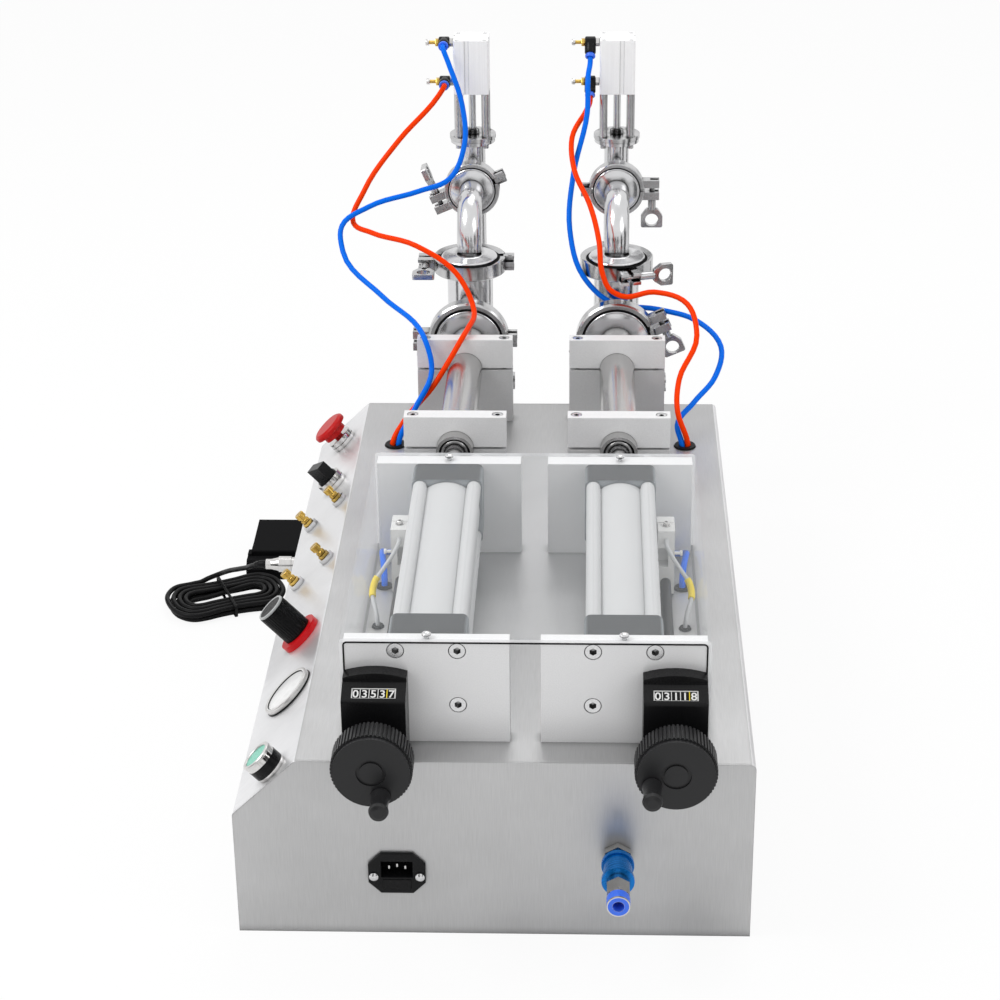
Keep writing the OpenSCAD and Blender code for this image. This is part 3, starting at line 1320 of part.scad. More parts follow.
module pedal_hank() color("black") swept(hank_path, cable_d, 6);

// Free cable: from the hank's upper end to the plug, and from its lower end to the pedal
lead_rise = [[-342, 261, 12], [-328, 257, 20], [-314, 240, 33], [-300, 217, 47], [-286, 194, 61],
    [-275, 174, 74]];
tail_run = [[-259, 213, 3], [-248, 221, 3], [-241, 234, 3], [-240, 252, 3], [-245, 268, 4]];
plug_tip = [-body_w / 2 - plug_l, plug_y, plug_z];
tail_x = -250;
tail_z = 5;
lead_route = concat([hank_out, hank_out + unit(hank_out - hank_loop_points[hank_last]) * cable_d],
    lead_rise, [plug_tip - [cable_d, 0, 0], plug_tip]);
tail_route = concat([hank_in, hank_in + unit(hank_in - hank_loop_points[0]) * cable_d], tail_run,
    [[tail_x, pedal_y0 - cable_d, tail_z], [tail_x, pedal_y0, tail_z]]);
module pedal_lead() color("black") {
    swept(lead_route, cable_d, 8);
    swept(tail_route, cable_d, 8);
}
module hank_ties() color("black") translate([hank_at.x, hank_at.y, 0]) rotate([0, 0, hank_turn])
    translate([-tie_w / 2, 0, 0]) rotate([90, 0, 90]) linear_extrude(tie_w) difference() {
        tie_outline(tie_t);
        tie_outline(0);
    }
module tie_outline(t) {
    w = hank_r + hank_pitch / 4 + cable_d / 2 + fit + t;
    h = hank_layer + cable_d + 2 * fit + 2 * t;
    polygon(rounded([[-w, tie_t - t], [w, tie_t - t], [w, tie_t - t + h], [-w, tie_t - t + h]],
        [tie_r + t, tie_r + t, tie_r + t, tie_r + t], 3));
}

// Plug in the cabinet's left wall: flange nut, body, coupling ring and cable clamp
module pedal_plug() color("gainsboro") translate([-body_w / 2, plug_y, plug_z]) rotate([0, -90, 0]) {
    z = plug_shares * plug_l;
    cylinder(d = plug_ring_d, h = plug_nut_t);
    cylinder(d = plug_d - plug_step, h = z[0]);
    translate([0, 0, z[0]]) cylinder(d = plug_d, h = z[1] - z[0]);
    translate([0, 0, z[1]]) cylinder(d1 = plug_d - plug_step, d2 = plug_tail_d, h = z[2] - z[1]);
    translate([0, 0, z[2]]) cylinder(d = plug_tail_d, h = plug_l - z[2]);
}
plug_shares = [0.3, 0.64, 0.86];
plug_nut_t = 3;
plug_step = 2;

// Foot pedal: base with a sloping near end and ears, tread on a cross pin
module pedal_base() color("dimgray") translate([pedal_x1 - pedal_w, pedal_y0, 0]) difference() {
    union() {
        rotate([90, 0, 90]) linear_extrude(pedal_w) polygon([[0, 0], [pedal_l, 0], [pedal_l, base_h],
            [tread_front, base_h], [tread_front - toe_slant, near_h], [toe_ramp, near_h], [0, base_h]]);
        for (x = [0, pedal_w - ear_t])
            translate([x, tread_front - toe_slant, 0]) cube([ear_t, ear_l, ear_h]);
        translate([0, hinge_y, hinge_z]) rotate([0, 90, 0]) cylinder(d = hinge_pin_d, h = pedal_w);
    }
}
base_h = 12;
toe_slant = 2;
toe_ramp = 8;
near_h = 20;
ear_t = 4;
ear_l = 12;
ear_h = 22;
hinge_back = 4;
hinge_y = tread_front + hinge_back;
hinge_z = 17;
module pedal_tread() color("black")
    translate([pedal_x1 - pedal_w + ear_t + fit, pedal_y0, 0]) difference() {
    union() {
        translate([0, hinge_y - tread_t / 2, 0]) rotate([90, 0, 90])
            linear_extrude(pedal_w - 2 * ear_t - 2 * fit)
            polygon(rounded([[0, hinge_z - tread_t / 2], [tread_t, hinge_z - tread_t / 2],
                [tread_t + tread_edge, base_h + tread_gap],
                [pedal_l - hinge_y + tread_t / 2, base_h + tread_gap + tread_edge / 2],
                [pedal_l - hinge_y + tread_t / 2, pedal_h], [0, pedal_h - tread_dip]],
                tread_edge * [1, 0, 0, 0.5, 1, 1], 3));
    }
    translate([-over, hinge_y, hinge_z]) rotate([0, 90, 0])
        cylinder(d = hinge_pin_d + 2 * run, h = pedal_w);
}

cabinet_wrap();
chassis_tray();
deck_grommets();
switch_collars();
estop_head();
selector_knob();
start_button();
throttle_nuts();
throttle_screw_1();
throttle_screw_2();
throttle_screw_3();
throttle_screw_4();
regulator_collar();
regulator_knob();
gauge_case();
gauge_needle();
power_inlet();
fuse_drawer();
air_fitting();
valve_sleeve();
guard_cover();
fixing_screws();
mount_plates();
drive_caps();
drive_barrels();
split_block_bases();
split_block_caps();
metering_tubes();
valve_bodies();
check_balls();
outlet_elbows();
nozzle_bodies();
lift_frames();
lift_cylinders();
flow_controls();
counter_housings();
pipe_clamps();
inlet_barbs();
left_handwheel();
right_handwheel();
left_grip();
right_grip();
left_sensor_slide();
right_sensor_slide();
left_piston_rod();
right_piston_rod();
left_plunger();
right_plunger();
solenoid_valves();
guard_lines();
left_blue_tube();
left_red_tube();
right_blue_tube();
right_red_tube();
pedal_lead();
pedal_hank();
hank_ties();
pedal_plug();
pedal_base();
pedal_tread();
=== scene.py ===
"""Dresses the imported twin-head liquid filler.

Each solid of the pack gets a procedural finish. The cords, the air tubes and the flow controls are shown by
smoother pieces, and fittings too fine for the solids are added. Places and profiles are in millimetres,
properties and finishes in metres. X runs across the cabinet, y from its front to its back and z up.
"""
import math

import bmesh
import bpy
import numpy as np
from bpy.props import FloatProperty, FloatVectorProperty, PointerProperty
from mathutils import Matrix, Vector


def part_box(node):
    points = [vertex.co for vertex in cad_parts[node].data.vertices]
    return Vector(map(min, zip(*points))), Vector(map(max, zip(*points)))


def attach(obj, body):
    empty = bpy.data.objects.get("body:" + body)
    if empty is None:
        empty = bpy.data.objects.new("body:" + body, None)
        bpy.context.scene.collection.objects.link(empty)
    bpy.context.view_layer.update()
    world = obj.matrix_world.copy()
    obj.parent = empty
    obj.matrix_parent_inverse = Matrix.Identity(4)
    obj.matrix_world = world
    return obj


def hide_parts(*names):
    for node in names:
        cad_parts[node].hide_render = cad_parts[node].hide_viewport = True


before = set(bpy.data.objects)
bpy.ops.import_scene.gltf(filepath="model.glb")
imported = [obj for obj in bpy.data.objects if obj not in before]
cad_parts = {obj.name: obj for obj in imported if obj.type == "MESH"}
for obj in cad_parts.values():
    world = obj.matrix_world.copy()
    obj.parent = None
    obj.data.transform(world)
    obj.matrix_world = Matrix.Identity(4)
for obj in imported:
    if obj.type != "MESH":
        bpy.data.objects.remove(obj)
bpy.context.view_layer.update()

bl_info = {
    "name": "Twin-head liquid filler",
    "version": (1, 0, 0),
    "blender": (4, 5, 0),
    "location": "View3D > Sidebar > Filler",
    "description": "Finishes, tubes, cords and small fittings of a bench liquid filler",
    "category": "Object",
}


def size(name, about, value):
    return FloatProperty(name=name, description=about, default=value, unit="LENGTH", precision=4)


def colour(name, about, value):
    return FloatVectorProperty(name=name, description=about, default=value, size=3, min=0, max=1,
                               subtype="COLOR")


class FillerSizes(bpy.types.PropertyGroup):
    air_tube: size("Air tube", "Outside diameter of the air tubes", 0.006)
    sensor_lead: size("Sensor lead", "Diameter of a sensor's lead", 0.004)
    pedal_cord: size("Pedal cord", "Diameter of the foot pedal's cord", 0.0055)
    digit_height: size("Digit height", "Height of the counters' digits", 0.0078)
    sleeve_length: size("Sleeve length", "Length of a lead's yellow sleeve", 0.022)
    relief_length: size("Relief length", "Length of the pedal cord's tapered reliefs", 0.02)


class FillerColours(bpy.types.PropertyGroup):
    sheet: colour("Sheet", "Brushed stainless sheet", (0.49, 0.49, 0.492))
    # Front and slope are the same sheet, painted with the light and shade that fall on those faces; the slope
    # is painted lighter
    front: colour("Front", "Duller sheet of the front", (0.52, 0.52, 0.522))
    slope: colour("Slope", "Polished sheet of the control panel", (0.80, 0.80, 0.81))
    pipe: colour("Pipe", "Polished stainless pipe", (0.66, 0.66, 0.67))
    casting: colour("Casting", "Satin cast stainless", (0.52, 0.52, 0.525))
    screw: colour("Screw", "Stainless screws and nuts", (0.66, 0.66, 0.665))
    nickel: colour("Nickel", "Nickel plate", (0.66, 0.65, 0.64))
    # Milled alloy and plate are one clear anodised alloy, painted as a shaded copy for the lower blocks and a
    # lit copy for the plates and caps
    milled: colour("Milled alloy", "Clear anodised lower blocks", (0.62, 0.622, 0.625))
    plate: colour("Plate", "Clear anodised plates and block caps", (0.79, 0.79, 0.795))
    tube: colour("Tube", "Satin metering tube", (0.50, 0.495, 0.49))
    wheel: colour("Wheel", "Black handwheels", (0.016, 0.016, 0.017))
    barrel: colour("Barrel", "Anodised extrusion of the drive barrels", (0.59, 0.595, 0.60))
    lift: colour("Lift", "Anodised extrusion of the lift cylinders", (0.95, 0.95, 0.955))
    cap: colour("Cap", "Grey cast caps of the drive barrels", (0.30, 0.325, 0.345))
    acrylic: colour("Acrylic", "Tint of the clear guard", (0.84, 0.87, 0.89))
    black: colour("Black", "Black moulded plastic", (0.006, 0.006, 0.0065))
    grey: colour("Grey", "Grey moulded plastic", (0.16, 0.165, 0.17))
    white: colour("White", "White moulded plastic", (0.74, 0.74, 0.73))
    red: colour("Red", "Stop button", (0.47, 0.008, 0.008))
    ring_red: colour("Ring red", "Regulator's ring", (0.56, 0.006, 0.01))
    green: colour("Green", "Start button", (0.15, 0.52, 0.39))
    sleeve_blue: colour("Sleeve blue", "Blue anodised sleeve of the air valve", (0.0, 0.17, 0.55))
    ring_blue: colour("Ring blue", "Release rings of the push-in fittings", (0.05, 0.17, 0.85))
    blue_tube: colour("Blue tube", "Blue air tube", (0.002, 0.15, 0.80))
    orange_tube: colour("Orange tube", "Orange-red air tube", (0.98, 0.045, 0.0))
    brass: colour("Brass", "Turned brass", (0.66, 0.44, 0.11))
    rubber: colour("Rubber", "Black rubber and cord sheath", (0.007, 0.007, 0.0075))
    lead: colour("Lead", "Grey sensor lead", (0.55, 0.56, 0.57))
    yellow: colour("Yellow", "Lead sleeves and the counters' mark", (0.86, 0.66, 0.02))
    cap_grey: colour("Cap grey", "Cap of the regulator", (0.42, 0.43, 0.43))


def sizes():
    return bpy.context.scene.filler_sizes


def colours():
    return bpy.context.scene.filler_colours


# Places repeated from the part's source, in millimetres
HEAD_X = (-55.0, 111.0)
SIDES = (-1, 1)
WORDS = ("left", "right")
MIDDLE_X = 28
# The sloping panel: a point of its upper fold, its way down and its way out
PANEL_FOOT = (-166.5, 0.0, 174.0)
PANEL_DOWN = (-0.71979, 0.0, -0.69419)
PANEL_OUT = (-0.69419, 0.0, 0.71979)
CONTROL_S = 30.5                # Of the large controls, down the slope


def metres(points):
    """Millimetres divided by a thousand."""
    return np.asarray(points, float) / 1000


def on_panel(y, s, h=0.0):
    """A point of the sloping panel: y along it, s down the slope from its upper fold, h out of it."""
    return np.array(PANEL_FOOT) + [0, y, 0] + s * np.array(PANEL_DOWN) + h * np.array(PANEL_OUT)


# Shader graphs

class Value:
    """An output socket; arithmetic on it adds Math nodes to its graph."""

    def __init__(self, graph, socket):
        self.graph = graph
        self.socket = socket

    def _math(self, operation, *terms):
        return self.graph.node("ShaderNodeMath", {"operation": operation}, dict(enumerate(terms)))

    def __add__(self, other):
        return self._math("ADD", self, other)

    def __sub__(self, other):
        return self._math("SUBTRACT", self, other)

    def __rsub__(self, other):
        return self._math("SUBTRACT", other, self)

    def __mul__(self, other):
        return self._math("MULTIPLY", self, other)

    def __gt__(self, other):
        return self._math("GREATER_THAN", self, other)

    def __lt__(self, other):
        return self._math("LESS_THAN", self, other)

    def __abs__(self):
        return self._math("ABSOLUTE", self)

    __radd__ = __add__
    __rmul__ = __mul__


class Graph:
    """A node tree that is filled through one method."""

    def __init__(self, tree):
        self.tree = tree

    def node(self, kind, settings=None, sockets=None, out=0):
        """Adds a node: its settings first, then its sockets' values or links; gives the output out."""
        made = self.tree.nodes.new(kind)
        for name, value in (settings or {}).items():
            setattr(made, name, value)
        for name, value in (sockets or {}).items():
            self.feed(made.inputs[name], value)
        return Value(self, made.outputs[out])

    def feed(self, socket, value):
        if isinstance(value, Value):
            self.tree.links.new(value.socket, socket)
        elif hasattr(value, "__len__") and len(value) == 3 and socket.type == "RGBA":
            socket.default_value = (*value, 1)
        else:
            socket.default_value = value

    def mix(self, factor, a, b):
        return self.node("ShaderNodeMix", {"data_type": "RGBA"}, {0: factor, 6: a, 7: b}, out=2)

    def axis(self, vector, index):
        return self.node("ShaderNodeSeparateXYZ", None, {0: vector}, out=index)

    def scaled(self, vector, scale):
        return self.node("ShaderNodeVectorMath", {"operation": "MULTIPLY"}, {0: vector, 1: scale})

    def dimmed(self, tint, share):
        return self.scaled(tint, (share, share, share))

    def spread(self, value, low, high, to_low=0.0, to_high=1.0):
        return self.node("ShaderNodeMapRange", {"clamp": True},
                         {"Value": value, "From Min": low, "From Max": high, "To Min": to_low,
                          "To Max": to_high})


class Finish(Graph):
    """One material; constants go straight onto the shader's sockets."""

    def __init__(self, name, **constants):
        self.material = bpy.data.materials.new(name)
        self.material.use_nodes = True
        super().__init__(self.material.node_tree)
        self.shader = self.tree.nodes["Principled BSDF"]
        for name_of, value in constants.items():
            self.feed(self.shader.inputs[name_of.replace("_", " ")], value)
        self.place = self.node("ShaderNodeTexCoord", out="Object")

    def set(self, name, value):
        self.feed(self.shader.inputs[name], value)

    def noise(self, scale, detail, rough):
        """Noise on the object's own coordinates, with this many grains a metre along x, y and z."""
        return self.node("ShaderNodeTexNoise", None,
                         {"Vector": self.scaled(self.place, scale), "Scale": 1.0, "Detail": detail,
                          "Roughness": rough})

    def crease(self, reach, alone, low, high):
        """Ambient occlusion, spread: 1 in the open and 0 deep in a corner, over the given reach; alone looks at
        no other piece. It masks the shade that is painted into corners.
        """
        open_sky = self.node("ShaderNodeAmbientOcclusion", {"samples": 8, "only_local": alone},
                             {"Distance": reach}, out="AO")
        return self.spread(open_sky, low, high)

    def bump(self, height, strength, distance, round_edge=0.0):
        """Fine relief; with round_edge, folded and milled edges also catch the light as if rounded."""
        sockets = {"Strength": strength, "Distance": distance, "Height": height}
        if round_edge:
            sockets["Normal"] = self.node("ShaderNodeBevel", {"samples": 4}, {"Radius": round_edge})
        self.set("Normal", self.node("ShaderNodeBump", None, sockets))


MIDDLING = (0.28, 0.72)         # Noise values that are stretched to 0 and 1
BRUSHED_ACROSS, BRUSHED_ALONG = 1500, 45                # Streaks a metre
# Past these the normal's x, z and y tell the sheet's sides, slope and front, which get painted light and shade,
# and the guard's front and back edges, painted pale as a highlight
FACES_SIDE, FACES_UP, FACES_FRONT, FACES_END = 0.35, 0.3, -0.7, 0.5
EDGE_GLOW = (0.90, 0.91, 0.92)
# Painted glare of the gauge's window, dark and light ends of its milky white
GLARE_DARK, GLARE_LIGHT = (0.92, 0.92, 0.92), (0.97, 0.97, 0.97)


def grained(f, tint, grain, share, rough_low, rough_high, reach=0.0, painted_shade=0.12, alone=False,
            low=0.15, high=0.85):
    """Tint darkened and lightened by the grain, painted shade in the creases, and roughness carried by the
    grain.
    """
    tint = np.array(tint)
    shade = f.mix(grain, tuple(tint * (1 - share)), tuple(np.minimum(tint * (1 + share), 1)))
    # Painted shade: with a reach, the tint darkens in creases and corners
    if reach:
        shade = f.mix(f.crease(reach, alone, low, high), tuple(tint * painted_shade), shade)
    f.set("Base Color", shade)
    f.set("Roughness", f.spread(grain, 0.0, 1.0, rough_low, rough_high))


def sheet_finish():
    """Long fine streaks: down the front, along the deck, and down the slope and side walls. The slope is
    painted lighter, as painted light, and the front gets a tone of its own for the light that falls on it, with
    cloudy handling marks and painted shade in the corners."""
    f = Finish("brushed_sheet", Metallic=0.82)
    facing = f.node("ShaderNodeNewGeometry", out="Normal")
    side = abs(f.axis(facing, 0)) > FACES_SIDE
    front = f.axis(facing, 1) < FACES_FRONT
    slope = side * (f.axis(facing, 2) > FACES_UP)
    lengthwise = f.noise((BRUSHED_ACROSS, BRUSHED_ALONG, BRUSHED_ALONG), 3.0, 0.6)
    upright = f.noise((BRUSHED_ALONG, BRUSHED_ACROSS, BRUSHED_ALONG), 3.0, 0.6)
    streaks = f.spread(f.mix(side, lengthwise, upright), *MIDDLING)
    cloud = f.spread(f.noise((9, 9, 14), 3.0, 0.55), 0.3, 0.7)
    # Painted light and shade: the front and the slope get tones of their own, for how light falls on each face
    tint = f.mix(front, colours().sheet, colours().front)
    tint = f.mix(slope, tint, colours().slope)
    grain = streaks * 0.55 + cloud * 0.45
    shade = f.mix(grain, f.dimmed(tint, 0.87), f.dimmed(tint, 1.11))
    # Painted shade: the tint falls to 0.35 of itself in corners, over 12 mm
    f.set("Base Color", f.mix(f.crease(0.012, False, 0.15, 0.85), f.dimmed(tint, 0.35), shade))
    f.set("Roughness", f.spread(grain, 0.0, 1.0, 0.28, 0.46))
    f.bump(streaks, strength=0.14, distance=0.00003, round_edge=0.0022)
    return f


def pipe_finish():
    """Polished tube with faint smears and very fine turning lines, and painted shade in its corners."""
    f = Finish("polished_pipe", Metallic=1.0)
    smear = f.noise((34, 34, 90), 3.0, 0.55)
    grained(f, colours().pipe, smear, share=0.08, rough_low=0.13, rough_high=0.25, reach=0.006, painted_shade=0.02,
            low=0.42, high=0.95)
    f.bump(f.noise((30, 30, 1500), 1.0, 0.5), strength=0.04, distance=0.00002)
    return f


def tube_finish():
    """Drawn metering tube: satin along its length, between the milled blocks, with painted shade in its
    corners.
    """
    f = Finish("satin_tube", Metallic=1.0)
    drawn = f.noise((420, 12, 420), 3.0, 0.55)
    grained(f, colours().tube, drawn, share=0.07, rough_low=0.17, rough_high=0.28, reach=0.004)
    f.bump(drawn, strength=0.08, distance=0.00002)
    return f


def casting_finish():
    """Bead-blasted casting: fine pits and softer patches, with painted shade in its corners."""
    f = Finish("cast_steel", Metallic=1.0)
    pits = f.noise((900, 900, 900), 2.0, 0.6)
    patch = f.noise((70, 70, 70), 3.0, 0.55)
    grained(f, colours().casting, f.spread(patch * 0.7 + pits * 0.3, 0.3, 0.7), share=0.16, rough_low=0.12,
            rough_high=0.26, reach=0.005, painted_shade=0.02, low=0.5, high=0.96)
    f.bump(pits, strength=0.18, distance=0.00006, round_edge=0.0007)
    return f


def acrylic_finish():
    """Clear sheet: thin where it is seen square on, denser and tinted where it is seen at a slant, and painted
    pale on its front and back edges, as a painted highlight for the glow of its edges."""
    f = Finish("clear_acrylic", Metallic=0.0, IOR=1.49)
    slant = f.node("ShaderNodeLayerWeight", None, {"Blend": 0.35}, out="Facing")
    haze = f.noise((14, 14, 14), 2.0, 0.5)
    tint = np.array(colours().acrylic)
    ends = abs(f.axis(f.node("ShaderNodeNewGeometry", out="Normal"), 1)) > FACES_END
    body = f.mix(haze, tuple(tint * 0.92), tuple(np.minimum(tint * 1.08, 1)))
    # Painted highlight: the front and back edges are made pale and denser
    f.set("Base Color", f.mix(ends, body, EDGE_GLOW))
    f.set("Roughness", f.spread(haze, 0.3, 0.7, 0.03, 0.08))
    f.set("Alpha", f.spread(slant, 0.2, 0.95, 0.025, 0.15) + ends * 0.62)
    return f


def glass_finish():
    """Domed window of the gauge, whitened as painted glare: a milky, mostly opaque white over the dial."""
    f = Finish("gauge_window", Metallic=0.0, IOR=1.49)
    haze = f.noise((120, 120, 120), 2.0, 0.5)
    f.set("Base Color", f.mix(haze, GLARE_DARK, GLARE_LIGHT))
    f.set("Roughness", f.spread(haze, 0.3, 0.7, 0.08, 0.14))
    f.set("Alpha", f.spread(haze, 0.2, 0.8, 0.66, 0.76))
    return f


def metal(name, tint, scale, share, low, high, bump, metallic, reach, round_edge, alone, gloss):
    """Blasted, turned or drawn metal: one grain carries its shade, its roughness and its relief, and painted
    shade darkens its creases.
    """
    f = Finish(name, Metallic=metallic, Specular_IOR_Level=gloss)
    grain = f.spread(f.noise(scale, 3.0, 0.6), *MIDDLING)
    grained(f, tint, grain, share, low, high, reach, alone=alone)
    f.bump(grain, bump, 0.00003, round_edge)
    return f


def moulding(name, tint, low, high, grain, bump, coat, gloss, round_edge):
    """Moulded plastic: a fine spark-eroded grain and a slow change of gloss."""
    f = Finish(name, Metallic=0.0, Coat_Weight=coat, Coat_Roughness=0.08, Specular_IOR_Level=gloss)
    fine = f.noise((grain, grain, grain), 2.0, 0.6)
    slow = f.noise((45, 45, 45), 2.0, 0.5)
    grained(f, tint, fine * 0.6 + slow * 0.4, 0.14, low, high)
    f.bump(fine, bump, 0.00004, round_edge)
    return f


GRAPHS = {"sheet": sheet_finish, "pipe": pipe_finish, "tube": tube_finish, "casting": casting_finish,
          "acrylic": acrylic_finish, "glass": glass_finish}

# Material, colour, grains a metre on x, y and z, shade's share, roughness low and high, bump, metallic,
# reach of the painted crease shade, radius of the edges, painted crease shade from the solid alone, specular
# level
METALS = {
    "screw": ("screw_steel", "screw", (500, 500, 500), 0.12, 0.14, 0.28, 0.15, 1.0, 0.006, 0.0, False, 0.5),
    "nickel": ("nickel", "nickel", (260, 260, 260), 0.05, 0.08, 0.17, 0.05, 1.0, 0.004, 0.0, False, 0.5),
    "satin": ("satin_rim", "nickel", (700, 700, 700), 0.05, 0.26, 0.36, 0.1, 1.0, 0.004, 0.0, False, 0.5),
    # The milled and plate rows are one alloy: painted shade on the lower blocks, painted light on the plates
    # and caps
    "milled": ("milled_alloy", "milled", (1150, 1150, 1150), 0.07, 0.36, 0.48, 0.22, 0.4, 0.004, 0.0008,
               True, 0.5),
    "plate": ("plate_alloy", "plate", (1150, 1150, 1150), 0.06, 0.36, 0.48, 0.22, 0.25, 0.004, 0.0008,
              True, 0.5),
    "barrel": ("barrel_alloy", "barrel", (900, 12, 900), 0.02, 0.55, 0.66, 0.08, 0.0, 0.002, 0.0, False,
               0.25),
    "lift": ("lift_alloy", "lift", (900, 900, 12), 0.03, 0.36, 0.46, 0.08, 0.25, 0.0025, 0.0007, False, 0.5),
    "cap": ("cap_alloy", "cap", (1100, 1100, 1100), 0.14, 0.42, 0.55, 0.35, 0.45, 0.004, 0.0, False, 0.5),
    "brass": ("brass", "brass", (420, 420, 420), 0.12, 0.16, 0.28, 0.08, 1.0, 0.004, 0.0, False, 0.5),
    "sleeve": ("blue_anodised", "sleeve_blue", (60, 900, 60), 0.16, 0.22, 0.32, 0.08, 0.6, 0.004, 0.0,
               False, 0.5),
}

# Material, colour, roughness low and high, grains a metre, bump, coat, specular level, radius of the edges
MOULDINGS = {
    "black": ("black_plastic", "black", 0.20, 0.34, 1500, 0.1, 0.0, 0.16, 0.0006),
    "wheel": ("wheel_black", "wheel", 0.30, 0.44, 1300, 0.25, 0.0, 0.3, 0.0),
    "matt_black": ("matt_black", "black", 0.5, 0.65, 1500, 0.2, 0.0, 0.03, 0.0),
    "gloss_black": ("gloss_black", "black", 0.12, 0.24, 900, 0.04, 0.0, 0.12, 0.0),
    "rubber": ("black_rubber", "rubber", 0.30, 0.48, 1100, 0.3, 0.0, 0.10, 0.0),
    "grey": ("grey_plastic", "grey", 0.40, 0.55, 1500, 0.2, 0.0, 0.4, 0.0),
    "cap_grey": ("cap_grey", "cap_grey", 0.35, 0.5, 1200, 0.3, 0.0, 0.4, 0.0),
    "white": ("white_plastic", "white", 0.32, 0.45, 1500, 0.1, 0.0, 0.4, 0.0),
    "red": ("red_plastic", "red", 0.26, 0.40, 700, 0.06, 0.0, 0.18, 0.0),
    "ring_red": ("regulator_red", "ring_red", 0.24, 0.36, 700, 0.06, 0.0, 0.18, 0.0),
    "green": ("green_plastic", "green", 0.22, 0.34, 700, 0.05, 0.2, 0.4, 0.0),
    "ring_blue": ("release_blue", "ring_blue", 0.26, 0.38, 900, 0.06, 0.0, 0.4, 0.0),
    "yellow": ("sleeve_yellow", "yellow", 0.40, 0.52, 900, 0.1, 0.0, 0.4, 0.0),
    "lead": ("lead_grey", "lead", 0.38, 0.5, 900, 0.15, 0.0, 0.4, 0.0),
    "blue_tube": ("blue_tube", "blue_tube", 0.24, 0.34, 500, 0.04, 0.0, 0.06, 0.0),
    "orange_tube": ("orange_tube", "orange_tube", 0.24, 0.34, 500, 0.04, 0.0, 0.06, 0.0),
}

MADE = {}


def look(kind):
    """The material of one look, made the first time that it is asked for."""
    if kind not in MADE:
        if kind in GRAPHS:
            made = GRAPHS[kind]()
        else:
            make, rows = (metal, METALS) if kind in METALS else (moulding, MOULDINGS)
            name, tint, *rest = rows[kind]
            made = make(name, getattr(colours(), tint), *rest)
        MADE[kind] = made.material
    return MADE[kind]


# Surfaces

MERGE, MEET = 1e-6, 1e-7        # Metres within which points are merged, and rings count as one
UPRIGHT = 0.9                   # A direction with more of z than this counts as upright


def placed(name, data):
    """A new object in the scene, at the origin and unturned."""
    made = bpy.data.objects.new(name, data)
    bpy.context.scene.collection.objects.link(made)
    return made


def dress(made, kind, body="machine"):
    """Gives a piece its look and the body that it rides on."""
    made.data.materials.append(look(kind))
    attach(made, body)
    return made


def skin(name, grids, kind, body="machine", bevel=0.0, angle=35):
    """One mesh from point grids of shape (m, n, 3): quads between neighbours, rings closed along n, a flat
    face over each end ring unless the two meet, doubles merged and normals turned outwards."""
    parts, faces, start = [], [], 0
    for grid in grids:
        m, n = grid.shape[:2]
        i, j = np.meshgrid(np.arange(m - 1), np.arange(n), indexing="ij")
        k = (j + 1) % n
        quads = np.stack([i * n + j, i * n + k, (i + 1) * n + k, (i + 1) * n + j], -1) + start
        faces += quads.reshape(-1, 4).tolist()
        if not np.allclose(grid[0], grid[-1], atol=MEET):
            ring = np.arange(n) + start
            faces += [ring[::-1].tolist(), (ring + (m - 1) * n).tolist()]
        parts.append(grid.reshape(-1, 3))
        start += m * n
    mesh = bpy.data.meshes.new(name)
    mesh.from_pydata(np.concatenate(parts).tolist(), [], faces)
    tidy = bmesh.new()
    tidy.from_mesh(mesh)
    bmesh.ops.remove_doubles(tidy, verts=tidy.verts, dist=MERGE)
    bmesh.ops.recalc_face_normals(tidy, faces=tidy.faces)
    tidy.to_mesh(mesh)
    tidy.free()
    mesh.shade_smooth()
    mesh.set_sharp_from_angle(angle=math.radians(angle))
    made = placed(name, mesh)
    if bevel:
        edge = made.modifiers.new("edge", "BEVEL")
        edge.width, edge.segments, edge.limit_method = bevel, 2, "ANGLE"
        edge.harden_normals = True
    return dress(made, kind, body)


def frame_of(axis):
    """Two unit directions square to the axis, the first as near to level as it can be."""
    axis = np.asarray(axis, float) / np.linalg.norm(axis)
    lean = np.array([0.0, 0.0, 1.0]) if abs(axis[2]) < UPRIGHT else np.array([0.0, 1.0, 0.0])
    across = np.cross(lean, axis)
    across /= np.linalg.norm(across)
    return across, np.cross(axis, across), axis


def turned(profile, origin, axis, sides=48, phase=0.0):
    """Surface of revolution: the profile's radius r and height h become r cos u, r sin u and h over one
    turn of u, set on the axis through the origin. Millimetres in, metres out."""
    r, h = np.asarray(profile, float).T
    u = phase + np.arange(sides) * 2 * np.pi / sides
    across, up, along = frame_of(axis)
    flat = r[:, None, None] * (np.cos(u)[None, :, None] * across + np.sin(u)[None, :, None] * up)
    return metres(np.asarray(origin) + flat + h[:, None, None] * along)


def slab(outline, origin, ax, ay, az, low, high):
    """Flat piece: the outline's x and y on two directions, between two heights on the third."""
    p = np.asarray(outline, float)
    base = np.asarray(origin) + p[:, :1] * np.asarray(ax) + p[:, 1:] * np.asarray(ay)
    return metres(np.stack([base + low * np.asarray(az), base + high * np.asarray(az)]))


def superellipse(w, h, power=5.0, count=32):
    """Outline x = w/2 sgn(cos u) |cos u|^(2/power), y = h/2 sgn(sin u) |sin u|^(2/power)."""
    u = np.arange(count) * 2 * np.pi / count
    c, s = np.cos(u), np.sin(u)
    return np.stack([w / 2 * np.sign(c) * np.abs(c) ** (2 / power),
                     h / 2 * np.sign(s) * np.abs(s) ** (2 / power)], -1)


# Curves

def tangents(p):
    """Direction at each point: the mean of its two chords' directions, each weighted by the other's length."""
    d = np.diff(p, axis=0)
    l = np.linalg.norm(d, axis=1, keepdims=True)
    u = d / l
    t = np.concatenate([u[:1], u[:-1] * l[1:] + u[1:] * l[:-1], u[-1:]])
    return t / np.linalg.norm(t, axis=1, keepdims=True), l


